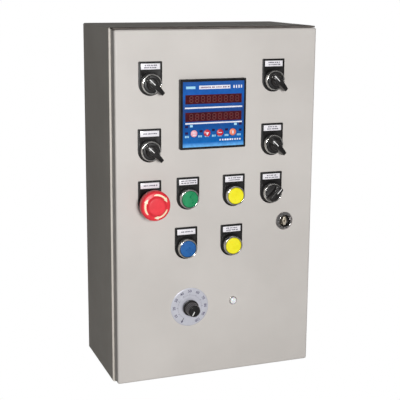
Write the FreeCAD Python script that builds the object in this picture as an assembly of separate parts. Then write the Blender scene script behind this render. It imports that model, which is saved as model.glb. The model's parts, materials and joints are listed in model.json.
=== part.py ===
import FreeCAD, Part

import math
import os

from FreeCAD import Vector

# Wall-mounted control cabinet: a folded steel body, a hinged pan door that carries the operator controls,
# and a mounting plate inside with rails, breaker, supply, relays and terminals.
# Millimetres. Origin at the centre of the four wall holes on the back face, +Z up, the door faces -Y.

# ---- driving dimensions ----
cabinet_width = 300.0
cabinet_height = 500.0
body_depth = 141.0
sheet = 1.5
body_edge_radius = 2.5

# door pan and how it sits on the body
door_reveal = 2.5
door_gap = 2.0
door_depth = 17.0
door_sheet = 1.5
door_edge_radius = 3.0

# front rim of the body and the seal
rim_width = 25.0
seal_lip_height = 9.0
seal_width = 10.0
seal_clearance = 0.2

# wall fixing
wall_hole_inset = 25.0
wall_hole_radius = 4.5

# cable entry in the floor of the body
gland_opening_width = 180.0
gland_opening_depth = 70.0
gland_plate_border = 11.0
gland_plate_thickness = 2.0
gland_hole_radius = 10.25
gland_hole_pitch = 52.0
gland_hole_count = 3
gland_screw_radius = 2.5

# mounting plate and its studs
plate_margin = 9.0
plate_thickness = 2.5
plate_standoff = 12.5
stud_inset = 9.0
stud_radius = 4.0
stud_length = 26.0
standoff_radius = 7.0
thread_clearance = 0.1
hole_clearance = 0.4

# rails on the mounting plate: section, how far they stop short of its sides, and how far they lie below its top
rail_width = 35.0
rail_height = 7.5
rail_sheet = 1.0
rail_end_margin = 12.0
upper_rail_drop = 98.0
lower_rail_drop = 288.0

# running fits and part-to-part gaps
running_fit = 0.05
moving_gap = 0.3

# controls: the outer columns from the door's sides, the middle ones from its centre line, the rows from its top
left_column_inset = 47.5
right_column_inset = 66.0
middle_column_x = -46.0
right_middle_column_x = 22.0
top_row_drop = 71.5
second_row_drop = 162.0
third_row_drop = 232.0
fourth_row_drop = 303.0

# legend holder behind each control
legend_width = 33.0
legend_above_hole = 29.5
legend_thickness = 2.0
insert_side_border = 3.0
insert_height = 8.0
insert_top_margin = 2.6
insert_thickness = 0.8

# 22 mm control head
barrel_radius = 11.0
barrel_wall = 1.8
barrel_length = 14.0
barrel_clearance = 0.15
bezel_flange = 3.75
bezel_taper = 1.35
bezel_rim = 1.5
bezel_height = 8.5
bezel_recess_floor = 0.6
lock_nut_thickness = 4.0
lock_nut_wall = 2.4
collar_depth = 11.0
collar_width = 29.0
collar_height = 40.0
contact_width = 27.0
contact_height = 38.0
contact_depth = 30.0
button_travel = 4.0

# selector knobs
knob_height = 24.5
short_knob_height = 22.5
lever_reach = 18.5
pointer_reach = 11.0
short_knob_reach = 12.5
knob_bar_width = 9.0

# emergency stop
mushroom_radius = 20.75
mushroom_height = 15.0
mushroom_dome = 5.0
estop_travel = 4.5
estop_collar_height = 10.0
estop_neck_radius = 12.5
estop_stub_radius = 6.0

# controller, a 96 mm square panel instrument
controller_x = -10.0
controller_drop = 115.0
controller_size = 96.0
controller_proud = 8.0
controller_border = 3.2
controller_ledge = 2.8
controller_body_size = 91.0
controller_cutout_clearance = 0.5
controller_body_depth = 60.0
face_thickness = 1.0
display_width = 82.5
display_height = 12.6
display_upper_z = 20.8
display_lower_z = -3.2
key_radius = 4.8
key_travel = 0.6
key_row_z = -26.0
key_pitch = 19.0

# speed potentiometer
pot_inset = 106.5
pot_rise = 103.5
dial_radius = 28.2
dial_thickness = 1.0
pot_case_radius = 12.0
pot_case_depth = 15.0
bushing_radius = 4.7
pot_shaft_radius = 3.0
pot_knob_skirt_radius = 12.0
pot_knob_top_radius = 8.0
pot_knob_height = 18.0
pot_knob_gap = 4.3

# pilot lamp
lamp_x = 25.6
lamp_rise = 106.0
lamp_bezel_radius = 6.4
lamp_thread_radius = 4.0
lamp_lens_radius = 4.8

# quarter-turn lock
lock_rim_inset = 21.0
lock_drop = 276.5
lock_flange_width = 2.45
lock_flange_height = 4.5
lock_barrel_radius = 10.8
lock_barrel_wall = 2.45
lock_recess_depth = 12.0
cam_thickness = 2.5
cam_width = 16.0
cam_overlap = 8.0

# hinges
hinge_drop = 67.5
hinge_sheet = 2.0
knuckle_radius = 3.2
hinge_pin_radius = 1.8
hinge_wall_gap = 0.3
hinge_axis_forward = 8.0
knuckle_length = 16.0
door_knuckle_length = 11.0
knuckle_gap = 0.3
gooseneck_reach = 9.0
gooseneck_foot = 6.0

# ---- values worked out from them ----
body_front = -body_depth
door_back = body_front - door_gap
door_front = door_back - door_depth
door_inner = door_front + door_sheet
door_half_width = cabinet_width / 2 - door_reveal
door_half_height = cabinet_height / 2 - door_reveal
rim_half_width = cabinet_width / 2 - rim_width
rim_half_height = cabinet_height / 2 - rim_width
plate_half_width = rim_half_width - plate_margin
plate_half_height = rim_half_height - plate_margin
plate_back = -sheet - plate_standoff
plate_front = plate_back - plate_thickness
seal_lip_front = body_front - seal_lip_height
holder_front = door_front - legend_thickness
floor_z = -cabinet_height / 2 + sheet
rail_front = plate_front - rail_height
collar_back = door_inner + lock_nut_thickness + collar_depth
rail_length = 2 * (plate_half_width - rail_end_margin)
upper_rail_z = plate_half_height - upper_rail_drop
lower_rail_z = plate_half_height - lower_rail_drop
left_column_x = -door_half_width + left_column_inset
right_column_x = door_half_width - right_column_inset
top_row_z = door_half_height - top_row_drop
second_row_z = door_half_height - second_row_drop
third_row_z = door_half_height - third_row_drop
fourth_row_z = door_half_height - fourth_row_drop
controller_z = door_half_height - controller_drop
pot_x = -door_half_width + pot_inset
pot_z = -door_half_height + pot_rise
lamp_z = -door_half_height + lamp_rise
lock_x = rim_half_width - lock_rim_inset
lock_z = door_half_height - lock_drop
hinge_z = door_half_height - hinge_drop
insert_width = legend_width - 2 * insert_side_border
barrel_bore_radius = barrel_radius - barrel_wall
control_hole_radius = barrel_radius + barrel_clearance
bezel_radius = barrel_radius + bezel_flange
bezel_front_radius = bezel_radius - bezel_taper
bezel_recess_radius = bezel_front_radius - bezel_rim
lock_nut_flats = 2 * (barrel_radius + thread_clearance + lock_nut_wall)
controller_cutout = controller_body_size + 2 * controller_cutout_clearance
controller_window = controller_size - 2 * (controller_border + controller_ledge)
lock_bore_radius = lock_barrel_radius - lock_barrel_wall
lock_flange_radius = lock_barrel_radius + lock_flange_width


def box(x0, x1, y0, y1, z0, z1):
    return Part.makeBox(x1 - x0, y1 - y0, z1 - z0, Vector(x0, y0, z0))


def centred_box(x, z, width, height, y0, y1):
    return box(x - width / 2, x + width / 2, y0, y1, z - height / 2, z + height / 2)


def rod(x, z, y0, y1, radius):
    """A round bar along Y from y0 to y1."""
    return Part.makeCylinder(radius, y1 - y0, Vector(x, y0, z), Vector(0, 1, 0))


def tube(x, z, y0, y1, outer, inner):
    return rod(x, z, y0, y1, outer).cut(rod(x, z, y0 - 1, y1 + 1, inner))


def turned(x, z, profile):
    """A lathe-turned solid about the Y line through x, z; the profile is (radius, y) pairs."""
    points = [Vector(x + r, y, z) for r, y in profile]
    face = Part.Face(Part.makePolygon(points + points[:1]))
    return face.revolve(Vector(x, 0, z), Vector(0, 1, 0), 360)


def hexagon(x, z, y0, y1, flats, bore):
    radius = flats / math.sqrt(3)
    corners = [Vector(x + radius * math.cos(a), y0, z + radius * math.sin(a))
               for a in (math.radians(60 * k) for k in range(7))]
    blank = Part.Face(Part.makePolygon(corners)).extrude(Vector(0, y1 - y0, 0))
    return blank.cut(rod(x, z, y0 - 1, y1 + 1, bore))


def frame(half_width, half_height, hole_half_width, hole_half_height, y0, y1):
    """A flat rectangular ring in the XZ plane."""
    outer = box(-half_width, half_width, y0, y1, -half_height, half_height)
    return outer.cut(box(-hole_half_width, hole_half_width, y0 - 1, y1 + 1, -hole_half_height, hole_half_height))


def along(shape, direction, at=None):
    """The shape's edges that run along one axis, and, where given, lie wholly on the y plane."""
    found = []
    for edge in shape.Edges:
        if len(edge.Vertexes) < 2 or edge.Curve.TypeId != "Part::GeomLine":
            continue
        start, end = (v.Point for v in edge.Vertexes)
        run = (end - start).normalize()
        if abs(abs(run.dot(direction)) - 1) > 1e-6:
            continue
        if at is not None and (abs(start.y - at) > 1e-6 or abs(end.y - at) > 1e-6):
            continue
        found.append(edge)
    return found


def group(solids):
    return Part.makeCompound(solids)


def corners(half_width, half_height):
    return [(sx * half_width, sz * half_height) for sx in (-1, 1) for sz in (-1, 1)]


X, Y, Z = Vector(1, 0, 0), Vector(0, 1, 0), Vector(0, 0, 1)
nodes = {}

# What stands at each control position: kind of head, name of the moving piece.
controls = [
    ("selector", "top_left_knob", left_column_x, top_row_z),
    ("selector", "top_right_knob", right_column_x, top_row_z),
    ("selector", "second_left_knob", left_column_x, second_row_z),
    ("selector", "second_right_knob", right_column_x, second_row_z),
    ("estop", "estop_mushroom", left_column_x, third_row_z),
    ("button", "green_cap", middle_column_x, third_row_z),
    ("button", "upper_yellow_cap", right_middle_column_x, third_row_z),
    ("short_selector", "short_knob", right_column_x, third_row_z),
    ("button", "blue_cap", middle_column_x, fourth_row_z),
    ("button", "lower_yellow_cap", right_middle_column_x, fourth_row_z),
]
# The holes were punched by hand, so some stand a little off their column or row.
punch_offset = {"top_left_knob": (1.5, 0), "estop_mushroom": (0, -1.5), "green_cap": (1.5, 0),
                "upper_yellow_cap": (2.0, 0), "blue_cap": (-1.0, 0), "lower_yellow_cap": (-0.5, -1.4)}
controls = [(kind, name, x + punch_offset.get(name, (0, 0))[0], z + punch_offset.get(name, (0, 0))[1])
            for kind, name, x, z in controls]


# ---- cabinet body: folded and welded sheet, with a rim turned in and a seal lip turned forward ----
def cabinet_body():
    half_w, half_h = cabinet_width / 2, cabinet_height / 2
    shell = box(-half_w, half_w, body_front, 0, -half_h, half_h)
    shell = shell.makeFillet(body_edge_radius, along(shell, Y))
    inner_radius = max(body_edge_radius - sheet, 0.4)
    hollow = box(-half_w + sheet, half_w - sheet, body_front + sheet, -sheet, -half_h + sheet, half_h - sheet)
    shell = shell.cut(hollow.makeFillet(inner_radius, along(hollow, Y)))
    shell = shell.cut(box(-rim_half_width, rim_half_width, body_front - 1, body_front + sheet + 1,
                          -rim_half_height, rim_half_height))
    lip = frame(rim_half_width + sheet, rim_half_height + sheet, rim_half_width, rim_half_height,
                seal_lip_front, body_front + sheet)
    shell = shell.fuse(lip)
    for x, z in corners(half_w - wall_hole_inset, half_h - wall_hole_inset):
        shell = shell.cut(rod(x, z, -sheet - 1, 1, wall_hole_radius))
    shell = shell.cut(gland_box(-half_h - 1, floor_z + 1, 0))
    for x, y in gland_screw_places():
        shell = shell.cut(Part.makeCylinder(gland_screw_radius + hole_clearance, sheet + 2, Vector(x, y, -half_h - 1)))
    return shell.removeSplitter()


def gland_box(z0, z1, border):
    middle = -body_depth / 2
    half_w = gland_opening_width / 2 + border
    half_d = gland_opening_depth / 2 + border
    return box(-half_w, half_w, middle - half_d, middle + half_d, z0, z1)


def gland_screw_places():
    half_w = gland_opening_width / 2 + gland_plate_border / 2
    half_d = gland_opening_depth / 2 + gland_plate_border / 2
    return [(sx * half_w, -body_depth / 2 + sy * half_d) for sx in (-1, 0, 1) for sy in (-1, 1)]


def gland_plate():
    plate = gland_box(floor_z, floor_z + gland_plate_thickness, gland_plate_border)
    for k in range(gland_hole_count):
        x = (k - (gland_hole_count - 1) / 2) * gland_hole_pitch
        plate = plate.cut(Part.makeCylinder(gland_hole_radius, 2 * gland_plate_thickness,
                                            Vector(x, -body_depth / 2, floor_z - 1)))
    for x, y in gland_screw_places():
        hole = Part.makeCylinder(gland_screw_radius + thread_clearance, 3 * gland_plate_thickness,
                                 Vector(x, y, floor_z - 1))
        plate = plate.cut(hole)
    return plate


def gland_screw(x, y):
    head_z = floor_z + gland_plate_thickness
    shank = Part.makeCylinder(gland_screw_radius, head_z - floor_z + sheet - 0.3, Vector(x, y, floor_z - sheet + 0.3))
    head = Part.makeCylinder(2 * gland_screw_radius, 2.6, Vector(x, y, head_z))
    slot = box(x - 3 * gland_screw_radius, x + 3 * gland_screw_radius, y - 0.6, y + 0.6, head_z + 1.4, head_z + 3)
    return shank.fuse(head).cut(slot)


nodes["cabinet_body"] = cabinet_body()
nodes["gland_plate"] = gland_plate()
nodes["gland_screws"] = group([gland_screw(x, y) for x, y in gland_screw_places()])

# ---- mounting plate on four shouldered studs ----
stud_places = corners(plate_half_width - stud_inset, plate_half_height - stud_inset)
rail_screw_x = rail_length / 2 - 14.0
rail_screw_radius = 2.5
rail_screw_places = [(sx * rail_screw_x, z) for sx in (-1, 1) for z in (upper_rail_z, lower_rail_z)]


def stud(x, z):
    return rod(x, z, plate_back, -sheet, standoff_radius).fuse(rod(x, z, -sheet - stud_length, plate_back, stud_radius))


def mounting_plate():
    plate = box(-plate_half_width, plate_half_width, plate_front, plate_back, -plate_half_height, plate_half_height)
    plate = plate.makeFillet(4.0, along(plate, Y))
    for x, z in stud_places:
        plate = plate.cut(rod(x, z, plate_front - 1, plate_back + 1, stud_radius + hole_clearance))
    for x, z in rail_screw_places:
        plate = plate.cut(rod(x, z, plate_front - 1, plate_back + 1, rail_screw_radius + thread_clearance))
    return plate


nodes["plate_studs"] = group([stud(x, z) for x, z in stud_places])
nodes["mounting_plate"] = mounting_plate()
nodes["plate_nuts"] = group([hexagon(x, z, plate_front - 6.5, plate_front, 13.0, stud_radius + thread_clearance)
                             for x, z in stud_places])


# ---- top-hat rails, screwed to the plate ----
def rail(z):
    half_web, half_top = rail_width / 2 - 4.0, rail_width / 2
    low, high = plate_front, rail_front
    outline = [(-half_top, high), (-half_web, high), (-half_web, low - rail_sheet), (half_web, low - rail_sheet),
               (half_web, high), (half_top, high), (half_top, high + rail_sheet),
               (half_web + rail_sheet, high + rail_sheet), (half_web + rail_sheet, low),
               (-half_web - rail_sheet, low), (-half_web - rail_sheet, high + rail_sheet), (-half_top, high + rail_sheet)]
    points = [Vector(-rail_length / 2, y, z + dz) for dz, y in outline]
    bar = Part.Face(Part.makePolygon(points + points[:1])).extrude(Vector(rail_length, 0, 0))
    for sx in (-1, 1):
        bar = bar.cut(rod(sx * rail_screw_x, z, low - 3, low + 1, rail_screw_radius + hole_clearance))
    return bar


def rail_screw(x, z):
    seat = plate_front - rail_sheet
    screw = rod(x, z, seat, plate_back, rail_screw_radius).fuse(rod(x, z, seat - 2.8, seat, 4.4))
    return screw.cut(box(x - 6, x + 6, seat - 3, seat - 1.6, z - 0.6, z + 0.6))


nodes["din_rails"] = group([rail(upper_rail_z), rail(lower_rail_z)])
nodes["rail_screws"] = group([rail_screw(x, z) for x, z in rail_screw_places])

# ---- two-pole breaker with a rocker toggle ----
breaker_x = -78.0
breaker_width = 36.0
breaker_height = 82.0
breaker_nose_height = 45.0
breaker_step_depth = 46.0
breaker_depth = 62.0
toggle_axis_depth = 59.0
toggle_radius = 7.0
toggle_width = 22.0
toggle_reach = 15.0
toggle_lean = 35.0
rail_clip_depth = 1.6


def device_on_rail(x, z, width, height, depth):
    """A housing whose back is cut to sit over the rail."""
    case = centred_box(x, z, width, height, rail_front - depth, rail_front)
    case = case.makeFillet(1.2, along(case, X, rail_front - depth))
    hook = centred_box(x, z, width, rail_width + 2 * rail_clip_depth + 6, rail_front, rail_front + rail_clip_depth + 1)
    pocket = centred_box(x, z, width + 2, rail_width + 0.6, rail_front - 1, rail_front + rail_clip_depth + 2)
    return case.fuse(hook.cut(pocket))


def breaker_case():
    case = device_on_rail(breaker_x, upper_rail_z, breaker_width, breaker_height, breaker_step_depth)
    nose = centred_box(breaker_x, upper_rail_z, breaker_width, breaker_nose_height,
                       rail_front - breaker_depth, rail_front - breaker_step_depth)
    case = case.fuse(nose).removeSplitter()
    well = Part.makeCylinder(toggle_radius + moving_gap, toggle_width + 2 * moving_gap,
                             Vector(breaker_x - toggle_width / 2 - moving_gap, rail_front - toggle_axis_depth,
                                    upper_rail_z), X)
    case = case.cut(well)
    for sx in (-1, 1):
        for sz in (-1, 1):
            x = breaker_x + sx * breaker_width / 4
            z = upper_rail_z + sz * (breaker_nose_height / 2 + 9)
            case = case.cut(rod(x, z, rail_front - breaker_step_depth - 1, rail_front - breaker_step_depth + 8, 3.4))
    return case


def breaker_toggle():
    axis = Vector(breaker_x - toggle_width / 2, rail_front - toggle_axis_depth, upper_rail_z)
    drum = Part.makeCylinder(toggle_radius, toggle_width, axis, X)
    lever = box(breaker_x - toggle_width / 2, breaker_x + toggle_width / 2,
                axis.y - toggle_reach, axis.y - 2, upper_rail_z - 2.2, upper_rail_z + 2.2)
    lever = lever.makeFillet(1.5, along(lever, X, axis.y - toggle_reach))
    lever.rotate(axis, X, -toggle_lean)
    return drum.fuse(lever)


nodes["breaker_case"] = breaker_case()
nodes["breaker_toggle"] = breaker_toggle()

# ---- power supply, relays and terminals on the rails ----
supply_x = -22.0
supply_width = 56.0
supply_height = 88.0
supply_depth = 44.0
relay_first_x = 28.0
relay_pitch = 28.0
relay_count = 3
relay_width = 27.0
terminal_count = 16
terminal_pitch = 8.2
terminal_height = 44.0
terminal_depth = 36.0


def power_supply():
    case = device_on_rail(supply_x, upper_rail_z, supply_width, supply_height, supply_depth)
    front = rail_front - supply_depth
    for k in range(5):
        z = upper_rail_z - 12 + 6 * k
        case = case.cut(centred_box(supply_x, z, supply_width - 14, 2.4, front - 1, front + 2))
    for sz in (-1, 1):
        for k in range(4):
            x = supply_x + (k - 1.5) * 9
            case = case.cut(rod(x, upper_rail_z + sz * (supply_height / 2 - 8), front - 1, front + 6, 2.8))
    return case


def relay_base(k):
    x = relay_first_x + k * relay_pitch
    base = device_on_rail(x, upper_rail_z, relay_width, 76.0, 18.0)
    for sx in (-1, 1):
        for sz in (-1, 1):
            base = base.cut(rod(x + sx * 7, upper_rail_z + sz * 30, rail_front - 19, rail_front - 12, 2.8))
    return base


def relay_cube(k):
    x = relay_first_x + k * relay_pitch
    cube = centred_box(x, upper_rail_z, relay_width - 5, 28.0, rail_front - 54, rail_front - 18)
    return cube.makeFillet(1.5, along(cube, Y))


def terminal(k):
    x = (k - (terminal_count - 1) / 2) * terminal_pitch
    block = device_on_rail(x, lower_rail_z, terminal_pitch - 0.4, terminal_height, terminal_depth)
    for sz in (-1, 1):
        z = lower_rail_z + sz * (terminal_height / 2 - 8)
        block = block.cut(rod(x, z, rail_front - terminal_depth - 1, rail_front - terminal_depth + 6, 2.6))
    return block


nodes["power_supply"] = power_supply()
nodes["relay_sockets"] = group([relay_base(k) for k in range(relay_count)])
nodes["relays"] = group([relay_cube(k) for k in range(relay_count)])
nodes["terminal_blocks"] = group([terminal(k) for k in range(terminal_count)])

# ---- wiring ducts with snap-on covers ----
duct_drops = (26.0, 186.0, 356.0)
duct_height = 28.0
duct_depth = 42.0
duct_wall = 1.2
duct_end_margin = 16.0
duct_length = 2 * (plate_half_width - duct_end_margin)
duct_z = [plate_half_height - drop for drop in duct_drops]
cover_skirt = 6.0


def duct(z):
    y0 = plate_front - duct_depth
    trough = box(-duct_length / 2, duct_length / 2, y0, plate_front, z - duct_height / 2, z + duct_height / 2)
    trough = trough.cut(box(-duct_length / 2 - 1, duct_length / 2 + 1, y0 - 1, plate_front - duct_wall,
                            z - duct_height / 2 + duct_wall, z + duct_height / 2 - duct_wall))
    return trough


def duct_cover(z):
    y0 = plate_front - duct_depth
    outside = duct_height / 2 + duct_wall + 0.15
    inside = duct_height / 2 + 0.15
    cap = box(-duct_length / 2, duct_length / 2, y0 - duct_wall, y0 + cover_skirt, z - outside, z + outside)
    return cap.cut(box(-duct_length / 2 - 1, duct_length / 2 + 1, y0, y0 + cover_skirt + 1, z - inside, z + inside))


nodes["wiring_ducts"] = group([duct(z) for z in duct_z])
nodes["duct_covers"] = group([duct_cover(z) for z in duct_z])

# ---- earth bar on two feet at the foot of the plate ----
earth_bar_rise = 32.0
earth_bar_z = -plate_half_height + earth_bar_rise
earth_bar_length = 96.0
earth_bar_section = 9.0
earth_bar_standoff = 10.0


def earth_bar():
    y1 = plate_front - earth_bar_standoff
    bar = centred_box(0, earth_bar_z, earth_bar_length, earth_bar_section, y1 - earth_bar_section, y1)
    for k in range(8):
        x = (k - 3.5) * 10.0
        bar = bar.cut(Part.makeCylinder(2.4, earth_bar_section + 2,
                                        Vector(x, y1 - earth_bar_section / 2, earth_bar_z - earth_bar_section), Z))
        bar = bar.fuse(rod(x, earth_bar_z, y1 - earth_bar_section - 2.5, y1 - earth_bar_section + 1, 2.6))
    for sx in (-1, 1):
        bar = bar.fuse(centred_box(sx * (earth_bar_length / 2 - 5), earth_bar_z, 8.0, 8.0, y1, plate_front))
    return bar


nodes["earth_bar"] = earth_bar()


# ---- door: a pressed pan with rounded edges and all its cut-outs ----
def door_panel():
    outer = box(-door_half_width, door_half_width, door_front, door_back, -door_half_height, door_half_height)
    rounded = along(outer, Y) + along(outer, X, door_front) + along(outer, Z, door_front)
    outer = outer.makeFillet(door_edge_radius, rounded)
    half_w, half_h = door_half_width - door_sheet, door_half_height - door_sheet
    inner = box(-half_w, half_w, door_inner, door_back + 1, -half_h, half_h)
    rounded = along(inner, Y) + along(inner, X, door_inner) + along(inner, Z, door_inner)
    pan = outer.cut(inner.makeFillet(max(door_edge_radius - door_sheet, 0.4), rounded))
    through = (door_front - 1, door_inner + 1)
    cuts = [rod(x, z, *through, control_hole_radius) for _, _, x, z in controls]
    cuts.append(centred_box(controller_x, controller_z, controller_cutout, controller_cutout, *through))
    cuts.append(rod(pot_x, pot_z, *through, bushing_radius + hole_clearance))
    cuts.append(rod(lamp_x, lamp_z, *through, lamp_thread_radius + thread_clearance))
    cuts.append(rod(lock_x, lock_z, *through, lock_barrel_radius + hole_clearance))
    return pan.cut(group(cuts))


nodes["door_panel"] = door_panel()
seal_middle = sheet / 2
nodes["door_gasket"] = frame(rim_half_width + seal_middle + seal_width / 2, rim_half_height + seal_middle + seal_width / 2,
                             rim_half_width + seal_middle - seal_width / 2, rim_half_height + seal_middle - seal_width / 2,
                             door_inner, seal_lip_front - seal_clearance)

# ---- concealed hinges: a goosenecked leaf on the rim, a forked leaf inside the door, and a pin ----
hinge_x = -door_half_width + door_sheet + knuckle_radius + hinge_wall_gap
hinge_y = door_back - hinge_axis_forward


def knuckle(z0, z1, bore):
    barrel = Part.makeCylinder(knuckle_radius, z1 - z0, Vector(hinge_x, hinge_y, z0))
    return barrel.cut(Part.makeCylinder(bore, z1 - z0 + 2, Vector(hinge_x, hinge_y, z0 - 1)))


def body_leaf(z):
    z0, z1 = z - knuckle_length / 2, z + knuckle_length / 2
    bore = hinge_pin_radius + running_fit
    arm = box(hinge_x + bore + 0.6, hinge_x + gooseneck_reach + hinge_sheet,
              hinge_y - hinge_sheet / 2, hinge_y + hinge_sheet / 2, z0, z1)
    leg = box(hinge_x + gooseneck_reach, hinge_x + gooseneck_reach + hinge_sheet,
              hinge_y - hinge_sheet / 2, body_front, z0, z1)
    foot = box(hinge_x + gooseneck_reach, hinge_x + gooseneck_reach + hinge_sheet + gooseneck_foot / 4,
               body_front - hinge_sheet, body_front, z0 - gooseneck_foot, z1 + gooseneck_foot)
    return knuckle(z0, z1, bore).fuse([arm, leg, foot]).removeSplitter()


def door_leaf(z):
    start = z + knuckle_length / 2 + knuckle_gap
    end = start + door_knuckle_length
    spans = [(start, end), (2 * z - end, 2 * z - start)]
    left = -door_half_width + door_sheet
    pieces = []
    for z0, z1 in spans:
        pieces.append(knuckle(z0, z1, hinge_pin_radius))
        pieces.append(box(hinge_x - hinge_sheet / 2, hinge_x + hinge_sheet / 2, door_inner,
                          hinge_y - hinge_pin_radius - 0.6, z0, z1))
    plate = box(left + door_edge_radius, left + door_edge_radius + 11, door_inner, door_inner + hinge_sheet,
                spans[1][0], spans[0][1])
    return pieces[0].fuse(pieces[1:] + [plate]).removeSplitter()


def hinge_pin(z):
    reach = knuckle_length / 2 + knuckle_gap + door_knuckle_length
    pin = Part.makeCylinder(hinge_pin_radius, 2 * reach, Vector(hinge_x, hinge_y, z - reach))
    head = Part.makeCylinder(knuckle_radius, 1.2, Vector(hinge_x, hinge_y, z + reach))
    return pin.fuse(head)


nodes["hinge_body_leaves"] = group([body_leaf(sz * hinge_z) for sz in (-1, 1)])
nodes["hinge_door_leaves"] = group([door_leaf(sz * hinge_z) for sz in (-1, 1)])
nodes["hinge_pins"] = group([hinge_pin(sz * hinge_z) for sz in (-1, 1)])


# ---- legend holders: square at the top, round below, with a white insert ----
def legend_holder(x, z):
    half = legend_width / 2
    top = box(x - half, x + half, holder_front, door_front, z, z + legend_above_hole)
    plate = top.fuse(rod(x, z, holder_front, door_front, half)).removeSplitter()
    plate = plate.cut(rod(x, z, holder_front - 1, door_front + 1, barrel_radius + thread_clearance))
    pocket = centred_box(x, insert_z(z), insert_width, insert_height, holder_front - 1, holder_front + insert_thickness)
    return plate.cut(pocket)


def insert_z(z):
    return z + legend_above_hole - insert_top_margin - insert_height / 2


nodes["legend_holders"] = group([legend_holder(x, z) for _, _, x, z in controls])
nodes["legend_inserts"] = group([centred_box(x, insert_z(z), insert_width - 0.1, insert_height - 0.1, holder_front,
                                             holder_front + insert_thickness) for _, _, x, z in controls])

# ---- 22 mm heads: turned bezel and barrel, nut, collar and contact block ----
recess_y = holder_front - bezel_recess_floor
bezel_front = holder_front - bezel_height
barrel_back = holder_front + barrel_length


def control_body(x, z):
    return turned(x, z, [(barrel_bore_radius, barrel_back), (barrel_radius, barrel_back), (barrel_radius, holder_front),
                         (bezel_radius, holder_front), (bezel_radius, holder_front - 1.6),
                         (bezel_front_radius, bezel_front), (bezel_recess_radius, bezel_front),
                         (bezel_recess_radius, recess_y), (barrel_bore_radius, recess_y)])


def estop_collar(x, z):
    top = holder_front - estop_collar_height
    return turned(x, z, [(barrel_bore_radius, barrel_back), (barrel_radius, barrel_back), (barrel_radius, holder_front),
                         (bezel_radius, holder_front), (bezel_radius, holder_front - 2.0),
                         (bezel_front_radius, top), (barrel_bore_radius, top)])


def mounting_collar(x, z):
    block = centred_box(x, z, collar_width, collar_height, door_inner + lock_nut_thickness, collar_back)
    block = block.makeFillet(2.0, along(block, Y))
    return block.cut(rod(x, z, door_inner, collar_back + 1, barrel_radius + 0.2))


def contact_block(x, z):
    block = centred_box(x, z, contact_width, contact_height, collar_back, collar_back + contact_depth)
    for sx in (-1, 1):
        for sz in (-1, 1):
            block = block.cut(rod(x + sx * contact_width / 4, z + sz * (contact_height / 2 - 5),
                                  collar_back + contact_depth - 5, collar_back + contact_depth + 1, 2.8))
    return block


kinds = {}
for kind, name, x, z in controls:
    kinds.setdefault(kind, []).append((x, z))
nodes["button_bodies"] = group([control_body(x, z) for x, z in kinds["button"]])
nodes["selector_bodies"] = group([control_body(x, z) for x, z in kinds["selector"] + kinds["short_selector"]])
nodes["estop_collar"] = estop_collar(*kinds["estop"][0])
nodes["locking_nuts"] = group([hexagon(x, z, door_inner, door_inner + lock_nut_thickness, lock_nut_flats,
                                       barrel_radius + thread_clearance) for _, _, x, z in controls])
nodes["mounting_collars"] = group([mounting_collar(x, z) for _, _, x, z in controls])
nodes["contact_blocks"] = group([contact_block(x, z) for _, _, x, z in controls])

# ---- moving pieces of the heads ----
stem_back = collar_back - moving_gap
stem_radius = barrel_bore_radius - running_fit


def button_cap(x, z):
    travel_stop = button_travel + moving_gap
    return turned(x, z, [(0, bezel_front - 0.6), (bezel_recess_radius - 1.0, bezel_front - 0.6),
                         (bezel_recess_radius - moving_gap, bezel_front), (bezel_recess_radius - moving_gap,
                                                                          recess_y - travel_stop),
                         (stem_radius, recess_y - travel_stop), (stem_radius, stem_back - button_travel),
                         (0, stem_back - button_travel)])


def knob(x, z, back_reach, front_reach, height, angle):
    """A disc in the bezel with a grip bar across it, made upright and turned to its clock position."""
    disc_front = bezel_front - 0.8
    shaft = turned(x, z, [(0, disc_front), (bezel_recess_radius - moving_gap, disc_front),
                          (bezel_recess_radius - moving_gap, recess_y - moving_gap),
                          (stem_radius, recess_y - moving_gap), (stem_radius, stem_back), (0, stem_back)])
    front = door_front - height
    bar = box(x - knob_bar_width / 2, x + knob_bar_width / 2, front, disc_front, z - back_reach, z + front_reach)
    bar = bar.makeFillet(knob_bar_width / 2 - 0.5, along(bar, Y))
    bar = bar.makeFillet(1.5, [e for e in bar.Edges if all(abs(v.Point.y - front) < 1e-6 for v in e.Vertexes)])
    bar.rotate(Vector(x, 0, z), Y, angle)
    return shaft.fuse(bar).removeSplitter()


for kind, name, x, z in controls:
    if kind == "button":
        nodes[name] = button_cap(x, z)
    if kind == "selector":
        nodes[name] = knob(x, z, lever_reach, pointer_reach, knob_height, -45)
    if kind == "short_selector":
        nodes[name] = knob(x, z, short_knob_reach, short_knob_reach, short_knob_height, 45)

# ---- emergency stop: a plunger that is pushed in and a mushroom that twists on it ----
estop_x, estop_z = kinds["estop"][0]
neck_back = holder_front - estop_collar_height - estop_travel - moving_gap
mushroom_back = neck_back - 3.0
mushroom_front = mushroom_back - mushroom_height
stub_front = neck_back - 9.0
nodes["estop_plunger"] = turned(estop_x, estop_z, [
    (0, stub_front), (estop_stub_radius, stub_front), (estop_stub_radius, neck_back + moving_gap),
    (stem_radius, neck_back + moving_gap), (stem_radius, stem_back - estop_travel), (0, stem_back - estop_travel)])


def mushroom():
    bore = estop_stub_radius + running_fit
    rim_front = mushroom_front + mushroom_dome
    return turned(estop_x, estop_z, [
        (bore, neck_back), (estop_neck_radius, neck_back), (estop_neck_radius, mushroom_back),
        (mushroom_radius - 1.5, mushroom_back), (mushroom_radius, mushroom_back + (-1.5)),
        (mushroom_radius, rim_front + 2.5), (mushroom_radius - 1.2, rim_front), (mushroom_radius * 0.7, rim_front - 2.2),
        (mushroom_radius * 0.62, mushroom_front + 0.8), (mushroom_radius * 0.5, mushroom_front), (0, mushroom_front),
        (0, stub_front - moving_gap), (bore, stub_front - moving_gap)])


nodes["estop_mushroom"] = mushroom()

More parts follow.
